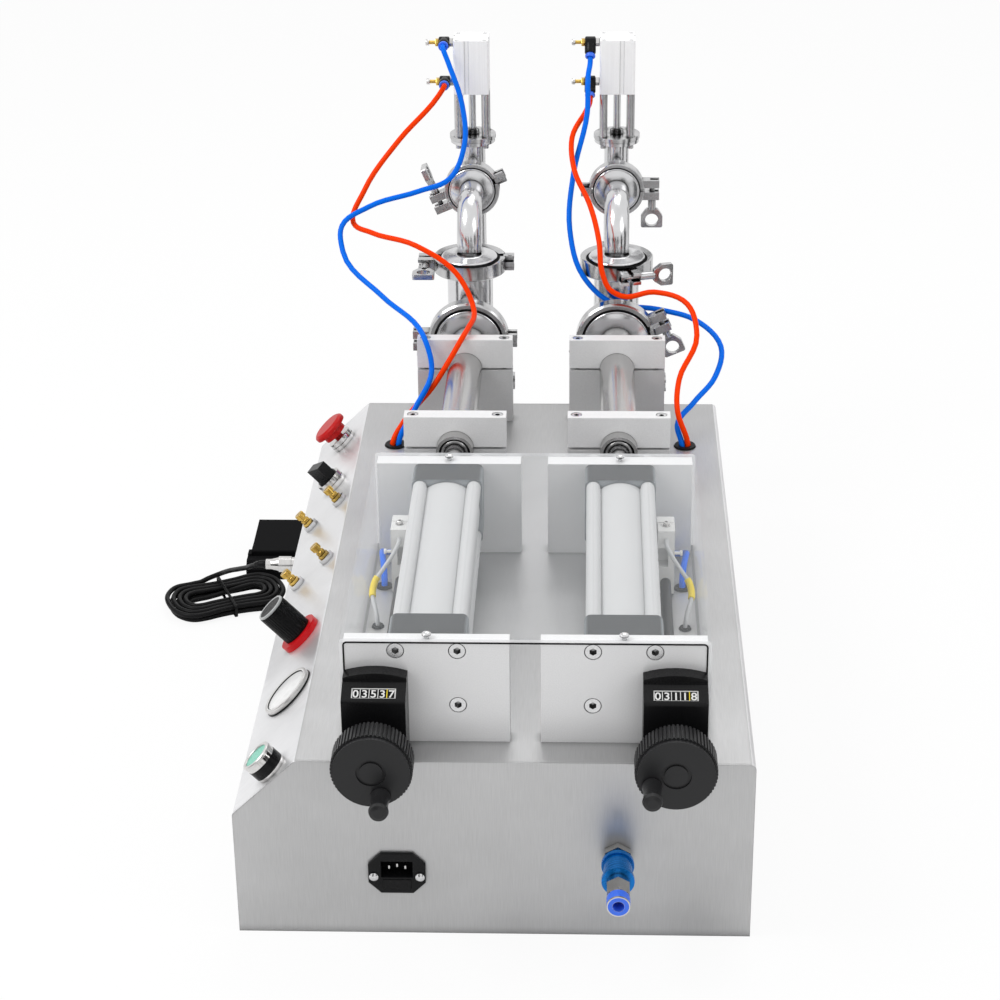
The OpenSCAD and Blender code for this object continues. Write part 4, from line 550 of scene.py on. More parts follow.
def sampled(p, per=16):
    """Cubic through the points: on each chord the four weights (1-v)^3, 3v(1-v)^2, 3v^2(1-v), v^3, with
    handles a third of the chord long on the tangents."""
    t, l = tangents(p)
    a, d = p[:-1], p[1:]
    b, c = a + t[:-1] * l / 3, d - t[1:] * l / 3
    v = (np.arange(per) / per)[None, :, None]
    a, b, c, d = (q[:, None, :] for q in (a, b, c, d))
    path = a * (1 - v) ** 3 + 3 * b * v * (1 - v) ** 2 + 3 * c * v ** 2 * (1 - v) + d * v ** 3
    return np.concatenate([path.reshape(-1, 3), p[-1:]])


def length_of(path):
    """Sum of the distances between neighbours."""
    return float(np.linalg.norm(np.diff(path, axis=0), axis=1).sum())


CORD_ROUND, CORD_STEPS = 5, 6    # Points on a quarter of the section, and steps between two points


def cord_curve(name, points, diameter, kind):
    """A round cord along one open spline through the points."""
    data = bpy.data.curves.new(name, "CURVE")
    data.dimensions = "3D"
    data.bevel_depth = diameter / 2
    data.bevel_resolution, data.resolution_u = CORD_ROUND, CORD_STEPS
    data.use_fill_caps = True
    spline = data.splines.new("BEZIER")
    spline.bezier_points.add(len(points) - 1)
    t, chord = tangents(points)
    before, after = np.concatenate([chord[:1], chord]), np.concatenate([chord, chord[-1:]])
    rows = spline.bezier_points
    for side in ("handle_left_type", "handle_right_type"):
        rows.foreach_set(side, [0] * len(points))
    rows.foreach_set("co", points.ravel())
    rows.foreach_set("handle_left", (points - t * before / 3).ravel())
    rows.foreach_set("handle_right", (points + t * after / 3).ravel())
    return dress(placed(name, data), kind)


def along(path, radii, sides=24):
    """Tube of changing radius: at each point of the path a ring of that radius, square to the path."""
    t = np.gradient(path, axis=0)
    t /= np.linalg.norm(t, axis=1, keepdims=True)
    lean = np.array([0.0, 0.0, 1.0]) if abs(t[:, 2]).max() < UPRIGHT else np.array([1.0, 0.0, 0.0])
    across = np.cross(t, lean)
    across /= np.linalg.norm(across, axis=1, keepdims=True)
    up = np.cross(across, t)
    u = np.arange(sides) * 2 * np.pi / sides
    ring = np.cos(u)[None, :, None] * across[:, None, :] + np.sin(u)[None, :, None] * up[:, None, :]
    return path[:, None, :] + np.asarray(radii)[:, None, None] * ring


def stretch(path, start, length, count):
    """Points at even steps along part of a path."""
    run = np.concatenate([[0], np.cumsum(np.linalg.norm(np.diff(path, axis=0), axis=1))])
    at = start + np.linspace(0, 1, count) * length
    return np.stack([np.interp(at, run, path[:, k]) for k in range(3)], -1)


# Operators

SOLID_LOOKS = {
    "sheet": ("cabinet_wrap", "chassis_tray"),
    "rubber": ("deck_grommets",),
    "nickel": ("switch_collars", "air_fitting", "pedal_plug"),
    "red": ("estop_head",),
    "ring_red": ("regulator_collar",),
    "black": ("selector_knob", "regulator_knob", "power_inlet", "counter_housings", "fuse_drawer", "hank_ties"),
    "wheel": ("left_handwheel", "right_handwheel", "left_grip", "right_grip"),
    "matt_black": ("pedal_tread", "pedal_base"),
    "green": ("start_button",),
    "screw": ("throttle_nuts", "fixing_screws"),
    "brass": ("throttle_screw_1", "throttle_screw_2", "throttle_screw_3", "throttle_screw_4"),
    "white": ("gauge_case", "check_balls", "left_sensor_slide", "right_sensor_slide"),
    "gloss_black": ("gauge_needle",),
    "grey": ("solenoid_valves",),
    "sleeve": ("valve_sleeve",),
    "acrylic": ("guard_cover",),
    # Painted shade and light: the lower blocks take the darker copy of the alloy, the plates and caps the
    # lighter one
    "milled": ("split_block_bases",),
    "plate": ("mount_plates", "split_block_caps"),
    "cap": ("drive_caps",),
    "barrel": ("drive_barrels",),
    "lift": ("lift_cylinders",),
    "tube": ("metering_tubes",),
    "pipe": ("valve_bodies", "outlet_elbows", "nozzle_bodies", "inlet_barbs", "left_piston_rod",
             "right_piston_rod", "left_plunger", "right_plunger"),
    "casting": ("lift_frames", "pipe_clamps"),
}


class FILLER_OT_finishes(bpy.types.Operator):
    """Gives each solid of the machine its finish"""
    bl_idname = "filler.finishes"
    bl_label = "Finishes"

    def execute(self, context):
        for kind, nodes in SOLID_LOOKS.items():
            for node in nodes:
                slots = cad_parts[node].material_slots
                for slot in slots:
                    slot.material = look(kind)
                if not len(slots):
                    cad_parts[node].data.materials.append(look(kind))
        return {"FINISHED"}


LIFT_HALF = 20.0                # Half the width of a lift's cylinder
NOZZLE_Y = 585.0
CONTROL_Z = (486.0, 531.5)      # Lower and upper port of a lift
CONTROL_TILTS = (0.0, 50.0)     # Degrees by which the left and the right head's controls look down
CONTROL_OUT = 11.0              # From the lift's face to the axis of the tube's mouth
CONTROL_REACH = 19.0            # From that axis to the end of the release ring
CONTROL_SOCKET = 6.0            # Depth of the tube in its fitting
TUBE_END, TUBE_LEAD = 0.3, 12   # A tube's first two points, back from the depth of its fitting
GROMMET_OUT, GROMMET_Y, GROMMET_TOP = 156, 266.0, 176.0
TUBE_INTO_DECK = 16


def control_direction(h):
    """The way that head h's flow controls look."""
    tilt = math.radians(CONTROL_TILTS[h])
    return np.array([0, -math.cos(tilt), -math.sin(tilt)])


def control_mouth(h, z, back):
    """A point on the axis of a tube in its fitting, back from the tube's end."""
    start = np.array([HEAD_X[h] - LIFT_HALF - CONTROL_OUT, NOZZLE_Y, z])
    return start + control_direction(h) * (CONTROL_REACH - CONTROL_SOCKET + back)


# Head, port, distance aside in the grommet, look, and the points between
AIR_TUBES = {
    "left_blue_tube": (0, 1, 3.2, "blue_tube", (
        (-80, 551, 518), (-64, 533, 474), (-61, 514, 434), (-78, 498, 398), (-112, 488, 387),
        (-168, 478, 372), (-198, 464, 354), (-196, 446, 330), (-150, 402, 294), (-106, 345, 279),
        (-99, 329, 274), (-90, 309, 243), (-108, 280, 209))),
    "left_red_tube": (0, 0, -3.2, "orange_tube", (
        (-92, 553, 478), (-135, 520, 437), (-174, 495, 386), (-186, 475, 354), (-164, 456, 349),
        (-112, 424, 345), (-67, 407, 319), (-47, 386, 284), (-52, 345, 278), (-57, 329, 274),
        (-70, 314, 255), (-88, 303, 228), (-119, 281, 196))),
    "right_blue_tube": (1, 1, -3.2, "blue_tube", (
        (78, 556, 503), (77, 535, 464), (62, 508, 402), (58, 474, 347), (73, 446, 302),
        (102, 437, 275), (158, 435, 266), (198, 414, 262), (226, 376, 245), (218, 338, 224),
        (194, 305, 208), (176, 280, 192))),
    "right_red_tube": (1, 0, 3.2, "orange_tube", (
        (76, 555, 461), (60, 522, 439), (63, 495, 409), (80, 468, 379), (91, 430, 347),
        (95, 413, 316), (103, 408, 300), (116, 406, 293), (152, 400, 300), (188, 379, 294),
        (198, 352, 268), (178, 310, 233), (176, 277, 209))),
}


class FILLER_OT_air_tubes(bpy.types.Operator):
    """Four air tubes from the lifts' flow controls to the deck grommets"""
    bl_idname = "filler.air_tubes"
    bl_label = "Air tubes"

    def execute(self, context):
        diameter = sizes().air_tube
        for node, (h, port, aside, kind, mid) in AIR_TUBES.items():
            z = CONTROL_Z[port]
            end = np.array([MIDDLE_X + SIDES[h] * GROMMET_OUT + aside, GROMMET_Y, GROMMET_TOP])
            points = metres([control_mouth(h, z, TUBE_END), control_mouth(h, z, TUBE_LEAD), *mid, end,
                             end - [0, 0, TUBE_INTO_DECK]])
            made = cord_curve(node + "_smooth", points, diameter, kind)
            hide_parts(node)
            length_of(sampled(points))
        return {"FINISHED"}


# Distance outwards from the head's axis, then y and z
AIR_LINE = ((0, -1, 212.9), (0, -1, 202), (2, 0, 192), (8, 2, 183.5), (18, 3.5, 178.5), (34, 4, 178),
            (50, 3.5, 178), (60, -2, 180), (64.5, -12, 186), (64, -26, 191), (62, -42, 192),
            (60.3, -54, 188), (59.5, -61, 181), (59.5, -63, 174), (59.5, -63, 160))
SENSOR_LINE = ((43, -76.3, 232), (43, -84, 231), (47, -92, 225), (57, -101, 212), (64, -107, 203),
               (66, -115, 197), (65, -125, 193), (62, -135, 188), (60, -142, 181), (59.5, -143, 174),
               (59.5, -143, 160))
SLEEVE_START = 0.046            # Metres along the lead
SLEEVE_SWELL, SLEEVE_END, SLEEVE_RINGS = 0.82, 0.95, 14


class FILLER_OT_guard_lines(bpy.types.Operator):
    """Air line and sensor lead of each head under the guard, with the lead's sleeve"""
    bl_idname = "filler.guard_lines"
    bl_label = "Guard lines"

    def execute(self, context):
        swell = np.ones(SLEEVE_RINGS)
        swell[[0, -1]] = SLEEVE_END
        for side, x, word in zip(SIDES, HEAD_X, WORDS):
            lines = (("air_line", AIR_LINE, sizes().air_tube, "blue_tube"),
                     ("sensor_lead", SENSOR_LINE, sizes().sensor_lead, "lead"))
            for name, line, diameter, kind in lines:
                points = metres([(x + side * p[0], p[1], p[2]) for p in line])
                made = cord_curve(f"{word}_{name}", points, diameter, kind)
                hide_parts("guard_lines")
                on_it = []
                if name == "sensor_lead":
                    run = stretch(sampled(points), SLEEVE_START, sizes().sleeve_length, SLEEVE_RINGS)
                    on_it = [skin(f"{word}_lead_sleeve", [along(run, swell * diameter * SLEEVE_SWELL)],
                                  "yellow")]
                length_of(sampled(points))
        return {"FINISHED"}


HANK_AT = (-316.0, 228.0)
HANK_TURN = 23.0
HANK_A, HANK_R, HANK_PITCH = 31.0, 33.0, 6.4        # Half a straight run, first radius, fall a loop
HANK_LAYER, HANK_Z, HANK_BULGE = 6.2, 4.05, 0.4
HANK_LOOPS, HANK_BACK, HANK_RINGS = 7.5, 3.5, 24    # Loops, where they turn outwards, points a loop
HANK_CLIMB = 0.25                                   # Part of a loop in which it climbs a layer
LEAD_RISE = ((-342, 261, 12), (-328, 257, 20), (-314, 240, 33), (-300, 217, 47), (-286, 194, 61),
             (-275, 174, 74))
TAIL_RUN = ((-259, 213, 3), (-248, 221, 3), (-241, 234, 3), (-240, 252, 3), (-245, 268, 4))
PLUG_TIP = (-261.5, 165.0, 80.0)
TAIL_END = (-250.0, 283.0, 5.0)


def hank_points():
    """Flat oval loops: two runs joined by half circles of radius r(t), which falls a pitch a loop to the
    middle of the hank and grows again in a second layer above; the ends bulge with the square of x."""
    t = np.arange(int(HANK_LOOPS * HANK_RINGS) + 1) / HANK_RINGS
    r = np.where(t < HANK_BACK, HANK_R - HANK_PITCH * t,
                 HANK_R - HANK_PITCH * HANK_BACK + HANK_PITCH * np.maximum(0, t - HANK_BACK - HANK_CLIMB))
    q = (t - np.floor(t)) * 4
    near, far = np.radians(270 - 180 * (q - 1)), np.radians(90 - 180 * (q - 3))
    x = np.select([q < 1, q < 2, q < 3], [HANK_A - 2 * HANK_A * q, -HANK_A + r * np.cos(near),
                                          -HANK_A + 2 * HANK_A * (q - 2)], HANK_A + r * np.cos(far))
    y = np.select([q < 1, q < 2, q < 3], [-r, r * np.sin(near), r], r * np.sin(far))
    y = y * (1 + HANK_BULGE * (x / (HANK_A + HANK_R)) ** 2)
    v = np.clip((t - HANK_BACK) / HANK_CLIMB, 0, 1)
    c, s = math.cos(math.radians(HANK_TURN)), math.sin(math.radians(HANK_TURN))
    return np.stack([HANK_AT[0] + c * x - s * y, HANK_AT[1] + s * x + c * y,
                     HANK_Z + HANK_LAYER * v * v * (3 - 2 * v)], -1)


RELIEF_RINGS, RELIEF_RIBS = 25, 10
RELIEF_RIBBED = (0.15, 0.9)     # Part of the length with ribs
RELIEF_SHARE, RELIEF_TAPER, RELIEF_RIB = 0.82, 0.26, 0.00022


class FILLER_OT_pedal_cord(bpy.types.Operator):
    """The foot pedal's cord, from its plug through the tied hank to the pedal"""
    bl_idname = "filler.pedal_cord"
    bl_label = "Pedal cord"

    def execute(self, context):
        diameter = sizes().pedal_cord
        step = diameter * 1000
        loops = hank_points()
        first, last = loops[0] - loops[1], loops[-1] - loops[-2]
        first, last = first / np.linalg.norm(first), last / np.linalg.norm(last)
        tip, end = np.array(PLUG_TIP), np.array(TAIL_END)
        points = metres([tip, tip - [step, 0, 0], *LEAD_RISE[::-1], loops[-1] + last * 2 * step,
                         loops[-1] + last * step, *loops[::-1], loops[0] + first * step,
                         loops[0] + first * 2 * step, *TAIL_RUN, end - [0, step, 0], end])
        made = cord_curve("pedal_cord", points, diameter, "rubber")
        path = sampled(points)
        v = np.linspace(0, 1, RELIEF_RINGS)
        low, high = RELIEF_RIBBED
        ribs = RELIEF_RIB * (np.sin(v * RELIEF_RIBS * np.pi) > 0) * (v > low) * (v < high)
        radii = diameter * (RELIEF_SHARE - RELIEF_TAPER * v) - ribs
        for name, line in (("plug_relief", path), ("pedal_relief", path[::-1])):
            run = stretch(line, 0.0, sizes().relief_length, RELIEF_RINGS)
            skin(name, [along(run, radii)], "rubber")
        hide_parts("pedal_lead", "pedal_hank")
        return {"FINISHED"}


# Look, sides, and profile of radius and distance out from the lift's face
CONTROL_STRAIGHT = (
    ("nickel", 6, ((0.1, 0.3), (4.2, 0.3), (4.9, 0.9), (4.9, 4.6), (4.4, 5.2), (0.1, 5.2))),
    ("black", 48, ((0.1, 5), (5.6, 5), (6.5, 5.9), (6.5, 15.4), (6.2, 16.4), (5.2, 17), (0.1, 17))),
    ("brass", 6, ((0.1, 16.5), (4.3, 16.5), (4.6, 17.1), (4.6, 20.4), (4.3, 21), (0.1, 21))),
    ("brass", 24, ((0.1, 20.5), (2.1, 20.5), (2.1, 28), (0.1, 28))),
    ("nickel", 40, ((0.1, 28), (3.2, 28), (3.5, 28.4), (3.5, 31.4), (3.1, 32), (0.1, 32))),
)
# The same for the branch that takes the tube, out from the axis of its mouth
CONTROL_BRANCH = (
    ("black", 48, ((0.1, 0), (6.2, 0), (6.35, 3), (6.35, 12.6), (5.9, 13.6), (5.2, 14), (3.15, 14),
                   (3.15, 12.9), (0.1, 12.9))),
    ("ring_blue", 48, ((3.15, 13), (4.4, 13), (4.4, 15), (5.2, 15.3), (5.75, 16), (5.75, 18.2),
                       (5.3, 18.9), (4.4, 19), (3.4, 18.7), (3.15, 18.2), (3.15, 13))),
)
CONTROL_PIECES = {"black": "control_elbows", "ring_blue": "control_rings", "brass": "control_needles",
                  "nickel": "control_knobs"}


class FILLER_OT_flow_controls(bpy.types.Operator):
    """Flow controls on the lifts: black elbows, blue release rings, brass needles with nickel knobs"""
    bl_idname = "filler.flow_controls"
    bl_label = "Flow controls"

    def execute(self, context):
        grids = {kind: [] for kind in CONTROL_PIECES}
        for h, x in enumerate(HEAD_X):
            for z in CONTROL_Z:
                base = np.array([x - LIFT_HALF, NOZZLE_Y, z])
                mouth = base + np.array([-CONTROL_OUT, 0, 0])
                for at, out, parts in ((base, (-1, 0, 0), CONTROL_STRAIGHT),
                                       (mouth, control_direction(h), CONTROL_BRANCH)):
                    for kind, sides, profile in parts:
                        grids[kind].append(turned(profile, at, out, sides))
        pieces = [skin(name, grids[kind], kind) for kind, name in CONTROL_PIECES.items()]
        for made in pieces:
            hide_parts("flow_controls")
        return {"FINISHED"}


COUNTER_OUT = 43.0              # From the head's axis, outwards
WINDOW_FOOT, WINDOW_TILT = (-376.0, 232.27), 23.2       # Y and z of its foot, and degrees off level
WINDOW_W, WINDOW_L = 37.5, 11.0
READINGS = ("03537", "03118")
DRUM_GAP, DRUM_CROWN, DRUM_FALL, DRUM_FOOT = 0.7, 0.5, 0.3, -0.2
RIB_W, RIB_H, RIB_IN = 0.6, 0.7, 0.2
FRAME_W, FRAME_EDGE, FRAME_H, FRAME_IN, FRAME_PLAY = 1.0, 0.7, 0.9, 0.1, 0.05
MARK_W, MARK_H, MARK_IN = 0.7, 0.8, 0.9
DIGIT_LIFT, FONT_SHARE = 0.62, 1.40
DIGIT_DEPTH, DIGIT_BOLD = 0.00008, 0.00012


def joined(name, meshes):
    """One object from several meshes, whose own points already lie in place."""
    whole = bmesh.new()
    for mesh in meshes:
        whole.from_mesh(mesh)
        bpy.data.meshes.remove(mesh)
    out = bpy.data.meshes.new(name)
    whole.to_mesh(out)
    whole.free()
    out.materials.clear()
    return placed(name, out)


class FILLER_OT_counter_windows(bpy.types.Operator):
    """Digit wheels, dividers and frame in the window of each stroke counter"""
    bl_idname = "filler.counter_windows"
    bl_label = "Counter windows"

    def execute(self, context):
        tilt = math.radians(WINDOW_TILT)
        ax, ay = np.array([1.0, 0, 0]), np.array([0, math.cos(tilt), math.sin(tilt)])
        az = np.cross(ax, ay)
        pitch = WINDOW_W / 5
        digit = sizes().digit_height
        at = [(k - 2) * pitch for k in range(5)]
        arc = [(v * WINDOW_L / 2 + WINDOW_L / 2, DRUM_CROWN - DRUM_FALL * v * v) for v in np.linspace(-1, 1, 9)]
        drum = [(WINDOW_L, DRUM_FOOT), (0, DRUM_FOOT), *arc]
        for side, x, word, reading in zip(SIDES, HEAD_X, WORDS, READINGS):
            foot = np.array([x + side * COUNTER_OUT, *WINDOW_FOOT])

            def bar(low, high, top, start, width):
                """Bar on the window: between two heights up it, and from start over a width across it."""
                return slab([(low, 0), (high, 0), (high, top), (low, top)], foot + ax * start, ay, az, ax,
                            0, width)

            drums = [slab(drum, foot + ax * (c - pitch / 2 + DRUM_GAP / 2), ay, az, ax, 0, pitch - DRUM_GAP)
                     for c in at]
            skin(f"{word}_counter_drums", drums, "gloss_black")
            ribs = [bar(RIB_IN, WINDOW_L - RIB_IN, RIB_H, c - pitch / 2 - RIB_W / 2, RIB_W) for c in at[1:4]]
            for end in (-1, 1):
                middle = end * (WINDOW_W / 2 - FRAME_W / 2 - FRAME_PLAY)
                ribs.append(bar(FRAME_IN, WINDOW_L - FRAME_IN, FRAME_H, middle - FRAME_W / 2, FRAME_W))
            for v in (FRAME_IN, WINDOW_L - FRAME_IN - FRAME_EDGE):
                ribs.append(bar(v, v + FRAME_EDGE, FRAME_H, FRAME_IN - WINDOW_W / 2, WINDOW_W - 2 * FRAME_IN))
            skin(f"{word}_counter_dividers", ribs, "white")
            mark = bar(MARK_IN, WINDOW_L - MARK_IN, MARK_H, at[4] - pitch / 2 - MARK_W / 2, MARK_W)
            skin(f"{word}_counter_mark", [mark], "yellow")
            rows = []
            for k, letter in enumerate(reading):
                text = bpy.data.curves.new("digit", "FONT")
                text.body, text.size, text.align_x = letter, digit * FONT_SHARE, "CENTER"
                text.extrude, text.resolution_u, text.offset = DIGIT_DEPTH, 4, DIGIT_BOLD
                shown = placed(f"{word}_digit_{k + 1}", text)
                mesh = bpy.data.meshes.new_from_object(shown)
                bpy.data.objects.remove(shown)
                rise = (WINDOW_L / 1000 - digit) / 2
                base = metres(foot + ax * at[k] + az * DIGIT_LIFT) + ay * rise
                mesh.transform(Matrix(((*ax,), (*ay,), (*az,))).transposed().to_4x4())
                mesh.transform(Matrix.Translation(Vector(base)))
                rows.append(mesh)
            dress(joined(f"{word}_counter_digits", rows), "white")
        return {"FINISHED"}


# Places along the panel, and profiles of radius and height out of it
REGULATOR_Y, GAUGE_Y, START_Y = -123.0, -231.0, -360.0
REGULATOR_CAP = ((0.1, 39.4), (14.1, 39.4), (14.5, 39.9), (14.5, 41.5), (14.0, 42.0), (13.0, 42.0),
                 (12.6, 41.7), (12.2, 41.2), (0.1, 41.2))
GAUGE_RIM = ((26.0, 0.1), (26.25, 0.5), (26.25, 4.7), (25.9, 5.3), (25.2, 5.5), (24.2, 5.4), (23.2, 4.8),
             (22.9, 3.2), (22.9, 2.5), (25.5, 2.4), (26.0, 0.1))
# Black rings at the gauge rim's foot and at its inner edge; the inner one is painted shade in the rim's recess
GAUGE_DARK_RINGS = (
    ((25.6, 0.05), (26.9, 0.05), (26.9, 0.9), (26.5, 1.3), (25.6, 1.3), (25.6, 0.05)),
    ((22.4, 4.0), (23.3, 4.2), (23.3, 5.05), (22.7, 5.1), (22.3, 4.7), (22.4, 4.0)),
)
GAUGE_GLASS = ((0.1, 4.1), (22.9, 3.6), (23.1, 4.1), (18.0, 4.55), (9.0, 4.8), (0.1, 4.9))
START_RIM = ((11.6, 17.2), (14.95, 17.2), (14.95, 19.4), (14.5, 20.0), (13.6, 20.3), (12.6, 20.2),
             (11.9, 19.8), (11.6, 19.2), (11.6, 17.2))
START_BAND = ((14.6, 3.0), (14.95, 3.3), (14.95, 12.7), (14.6, 13.0), (14.6, 3.0))
GAUGE_SIDES, RING_SIDES = 72, 64
DIAL_Z, DIAL_FROM, DIAL_SWEEP = 2.4, -45, 270
TICK_STEPS, TICK_GROUP, TICK_END = 40, 5, 21.2
TICK_LONG, TICK_SHORT = (17.6, 0.28), (19.2, 0.14)      # Inner radius and half width
TICK_LOW, TICK_HIGH = 0.02, 0.09
THROTTLE_Y, THROTTLE_S = (145.0, 13.5), (14.5, 57.0)
KNURLS = ((3.4, 5.0, 14.6, 20.4), (3.4, 4.6, 8.4, 12.4))    # Bore, radius, low and high
KNURL_TEETH, KNURL_DEPTH, KNURL_CHAMFER, KNURL_SHARP = 22, 0.42, 0.5, 20


def on_slope(profile, y, sides=48):
    """Surface of revolution that stands on the sloping panel, in line with the large controls."""
    return turned(profile, on_panel(y, CONTROL_S), PANEL_OUT, sides)


def knurled(bore, r, low, high, origin):
    """Drum with upright teeth: the outer radius steps between r and r less the depth, four points a tooth."""
    c = KNURL_CHAMFER
    drum = turned([(bore, low), (r - c, low), (r, low + c), (r, high - c), (r - c, high), (bore, high),
                   (bore, low)], (0, 0, 0), (0, 0, 1), KNURL_TEETH * 4)
    swing = np.where(np.arange(KNURL_TEETH * 4) % 4 < 2, 1.0, 1 - KNURL_DEPTH / r)
    drum[1:5, :, :2] *= swing[None, :, None]
    across, up, out = frame_of(PANEL_OUT)
    return metres(origin) + drum[..., :1] * across + drum[..., 1:2] * up + drum[..., 2:] * out


class FILLER_OT_panel_trim(bpy.types.Operator):
    """Regulator cap, gauge rim, glass and ticks, start button rim and throttle knurls on the sloping panel"""
    bl_idname = "filler.panel_trim"
    bl_label = "Panel trim"

    def execute(self, context):
        skin("regulator_cap", [on_slope(REGULATOR_CAP, REGULATOR_Y)], "cap_grey", "regulator")
        skin("gauge_rim", [on_slope(GAUGE_RIM, GAUGE_Y, GAUGE_SIDES)], "satin")
        # Black rings of the rim, the inner one painted shade of its recess
        skin("gauge_dark_rings", [on_slope(dark_ring, GAUGE_Y, GAUGE_SIDES) for dark_ring in GAUGE_DARK_RINGS], "rubber")
        skin("gauge_glass", [on_slope(GAUGE_GLASS, GAUGE_Y, GAUGE_SIDES)], "glass")
        centre = on_panel(GAUGE_Y, CONTROL_S, DIAL_Z)
        across, up, out = frame_of(PANEL_OUT)
        ticks = []
        for k in range(TICK_STEPS + 1):
            a = math.radians(DIAL_FROM + DIAL_SWEEP * k / TICK_STEPS)
            ray = math.cos(a) * across + math.sin(a) * up
            start, half = TICK_SHORT if k % TICK_GROUP else TICK_LONG
            ticks.append(slab([(start, -half), (TICK_END, -half), (TICK_END, half), (start, half)], centre,
                              ray, np.cross(out, ray), out, TICK_LOW, TICK_HIGH))
        skin("gauge_ticks", ticks, "grey")
        skin("start_rim", [on_slope(START_RIM, START_Y, RING_SIDES)], "satin")
        skin("start_band", [on_slope(START_BAND, START_Y, RING_SIDES)], "black")
        for k, (y, s) in enumerate((y, s) for y in THROTTLE_Y for s in THROTTLE_S):
            skin(f"throttle_knurl_{k + 1}", [knurled(*drum, on_panel(y, s)) for drum in KNURLS], "brass",
                 f"throttle_{k + 1}", angle=KNURL_SHARP)
        return {"FINISHED"}


FRONT_Y = -380.0
AIR_X, AIR_Z = 107.0, 83.5
RELEASE_RING = ((5.0, 63.0), (7.2, 63.0), (7.2, 65.4), (9.0, 65.4), (9.9, 66.2), (9.95, 74.8), (9.4, 76.6),
                (8.4, 77.4), (6.2, 77.4), (5.1, 77.0), (4.85, 76.2), (4.85, 69.0), (5.0, 63.0))
INLET_X, INLET_Z = -82.6, 63.3
PIN_W, PIN_H, PIN_POWER = 2.3, 4.3, 6.0
PIN_ROOT_Y, PIN_L, PIN_KEEPS = -367.0, 11.0, 0.4        # The share of the height that doesn't taper
PIN_PLACES = ((-7.0, 3.2), (0.0, 5.2), (7.0, 3.2))
PIN_STEPS = ((1.0, 0.0), (1.0, PIN_L - 1.6), (0.9, PIN_L - 0.7), (0.6, PIN_L), (0.2, PIN_L + 0.15))


class FILLER_OT_inlet_trim(bpy.types.Operator):
    """Release ring of the air inlet and the mains inlet's three pins"""
    bl_idname = "filler.inlet_trim"
    bl_label = "Inlet trim"

    def execute(self, context):
        ring = turned(RELEASE_RING, (AIR_X, FRONT_Y, AIR_Z), (0, -1, 0), RING_SIDES)
        skin("inlet_release_ring", [ring], "ring_blue")
        shape = superellipse(PIN_W, PIN_H, PIN_POWER)
        pins = []
        for x, z in PIN_PLACES:
            rings = [np.stack([INLET_X + x + shape[:, 0] * k, np.full(len(shape), PIN_ROOT_Y - out),
                               INLET_Z + z + shape[:, 1] * (PIN_KEEPS + (1 - PIN_KEEPS) * k)], -1)
                     for k, out in PIN_STEPS]
            pins.append(metres(rings))
        skin("inlet_pins", pins, "nickel")
        return {"FINISHED"}


AXIS_Z = 236.0
ELBOW_R, BRANCH_R = 14.0, 19.0
# Two faces' y, the axis' z, then the radii of the pipe, the ferrule and the outer edge of the gap's painted
# shade
UPRIGHT_CLAMPS = (((410.0, 428.0), AXIS_Z, BRANCH_R, 36.6, 39.4),
                  ((541.0, 557.0), 370.0, ELBOW_R, 25.9, 27.4))
FLAT_CLAMP_Y, FLAT_CLAMP_Z = 461.0, 318.0
FLAT_FERRULE = ((ELBOW_R + 0.1, -0.3), (ELBOW_R + 0.1, 4.2), (15.6, 3.4), (29.2, 3.2), (30.8, 2.8),
                (31.5, 1.9), (31.5, -0.3), (ELBOW_R + 0.1, -0.3))
FLAT_GAP_SHADE = (31.2, 34.6)
FERRULE_RISE, FERRULE_PLAY, GAP_UNDER = 3.2, 0.1, 0.4
CLAMP_SIDES = 72


def dished(neck, rim, rise):
    """Back of a ferrule: a hollow cone that climbs from the rim to the neck, its rim turned round."""
    return [(neck, -0.4), (neck, rise), (neck + 0.8, rise - 0.1), (rim - 2.4, 1.1), (rim - 1.6, 0.75),
            (rim - 0.5, 0.9), (rim, 0.45), (rim, -0.4), (neck, -0.4)]


def gap_shade_ring(inner, outer, low=-0.3, high=0.12):
    """Thin flat ring, let into a clamp's face: a black ring that paints the shade of the gap around its
    ferrule.
    """
    return [(inner, low), (inner, high), (outer, high), (outer, low), (inner, low)]


class FILLER_OT_clamp_trim(bpy.types.Operator):
    """Dished ferrule backs inside the pipe clamps, and black rings painted as the shade of the gap between each
    clamp and its ferrule
    """
    bl_idname = "filler.clamp_trim"
    bl_label = "Clamp trim"

    def execute(self, context):
        cones, gap_shades = [], []
        for x in HEAD_X:
            for ys, z, neck, rim, edge in UPRIGHT_CLAMPS:
                cone, gap = dished(neck + FERRULE_PLAY, rim, FERRULE_RISE), gap_shade_ring(rim - GAP_UNDER, edge)
                for y, way in zip(ys, SIDES):
                    cones.append(turned(cone, (x, y, z), (0, way, 0), CLAMP_SIDES))
                    gap_shades.append(turned(gap, (x, y, z), (0, way, 0), CLAMP_SIDES))
            at = (x, FLAT_CLAMP_Y, FLAT_CLAMP_Z)
            cones.append(turned(FLAT_FERRULE, at, (0, 0, 1), CLAMP_SIDES))
            gap_shades.append(turned(gap_shade_ring(*FLAT_GAP_SHADE), at, (0, 0, 1), CLAMP_SIDES))
        skin("ferrule_backs", cones, "pipe")
        skin("clamp_gap_shades", gap_shades, "matt_black")
        return {"FINISHED"}


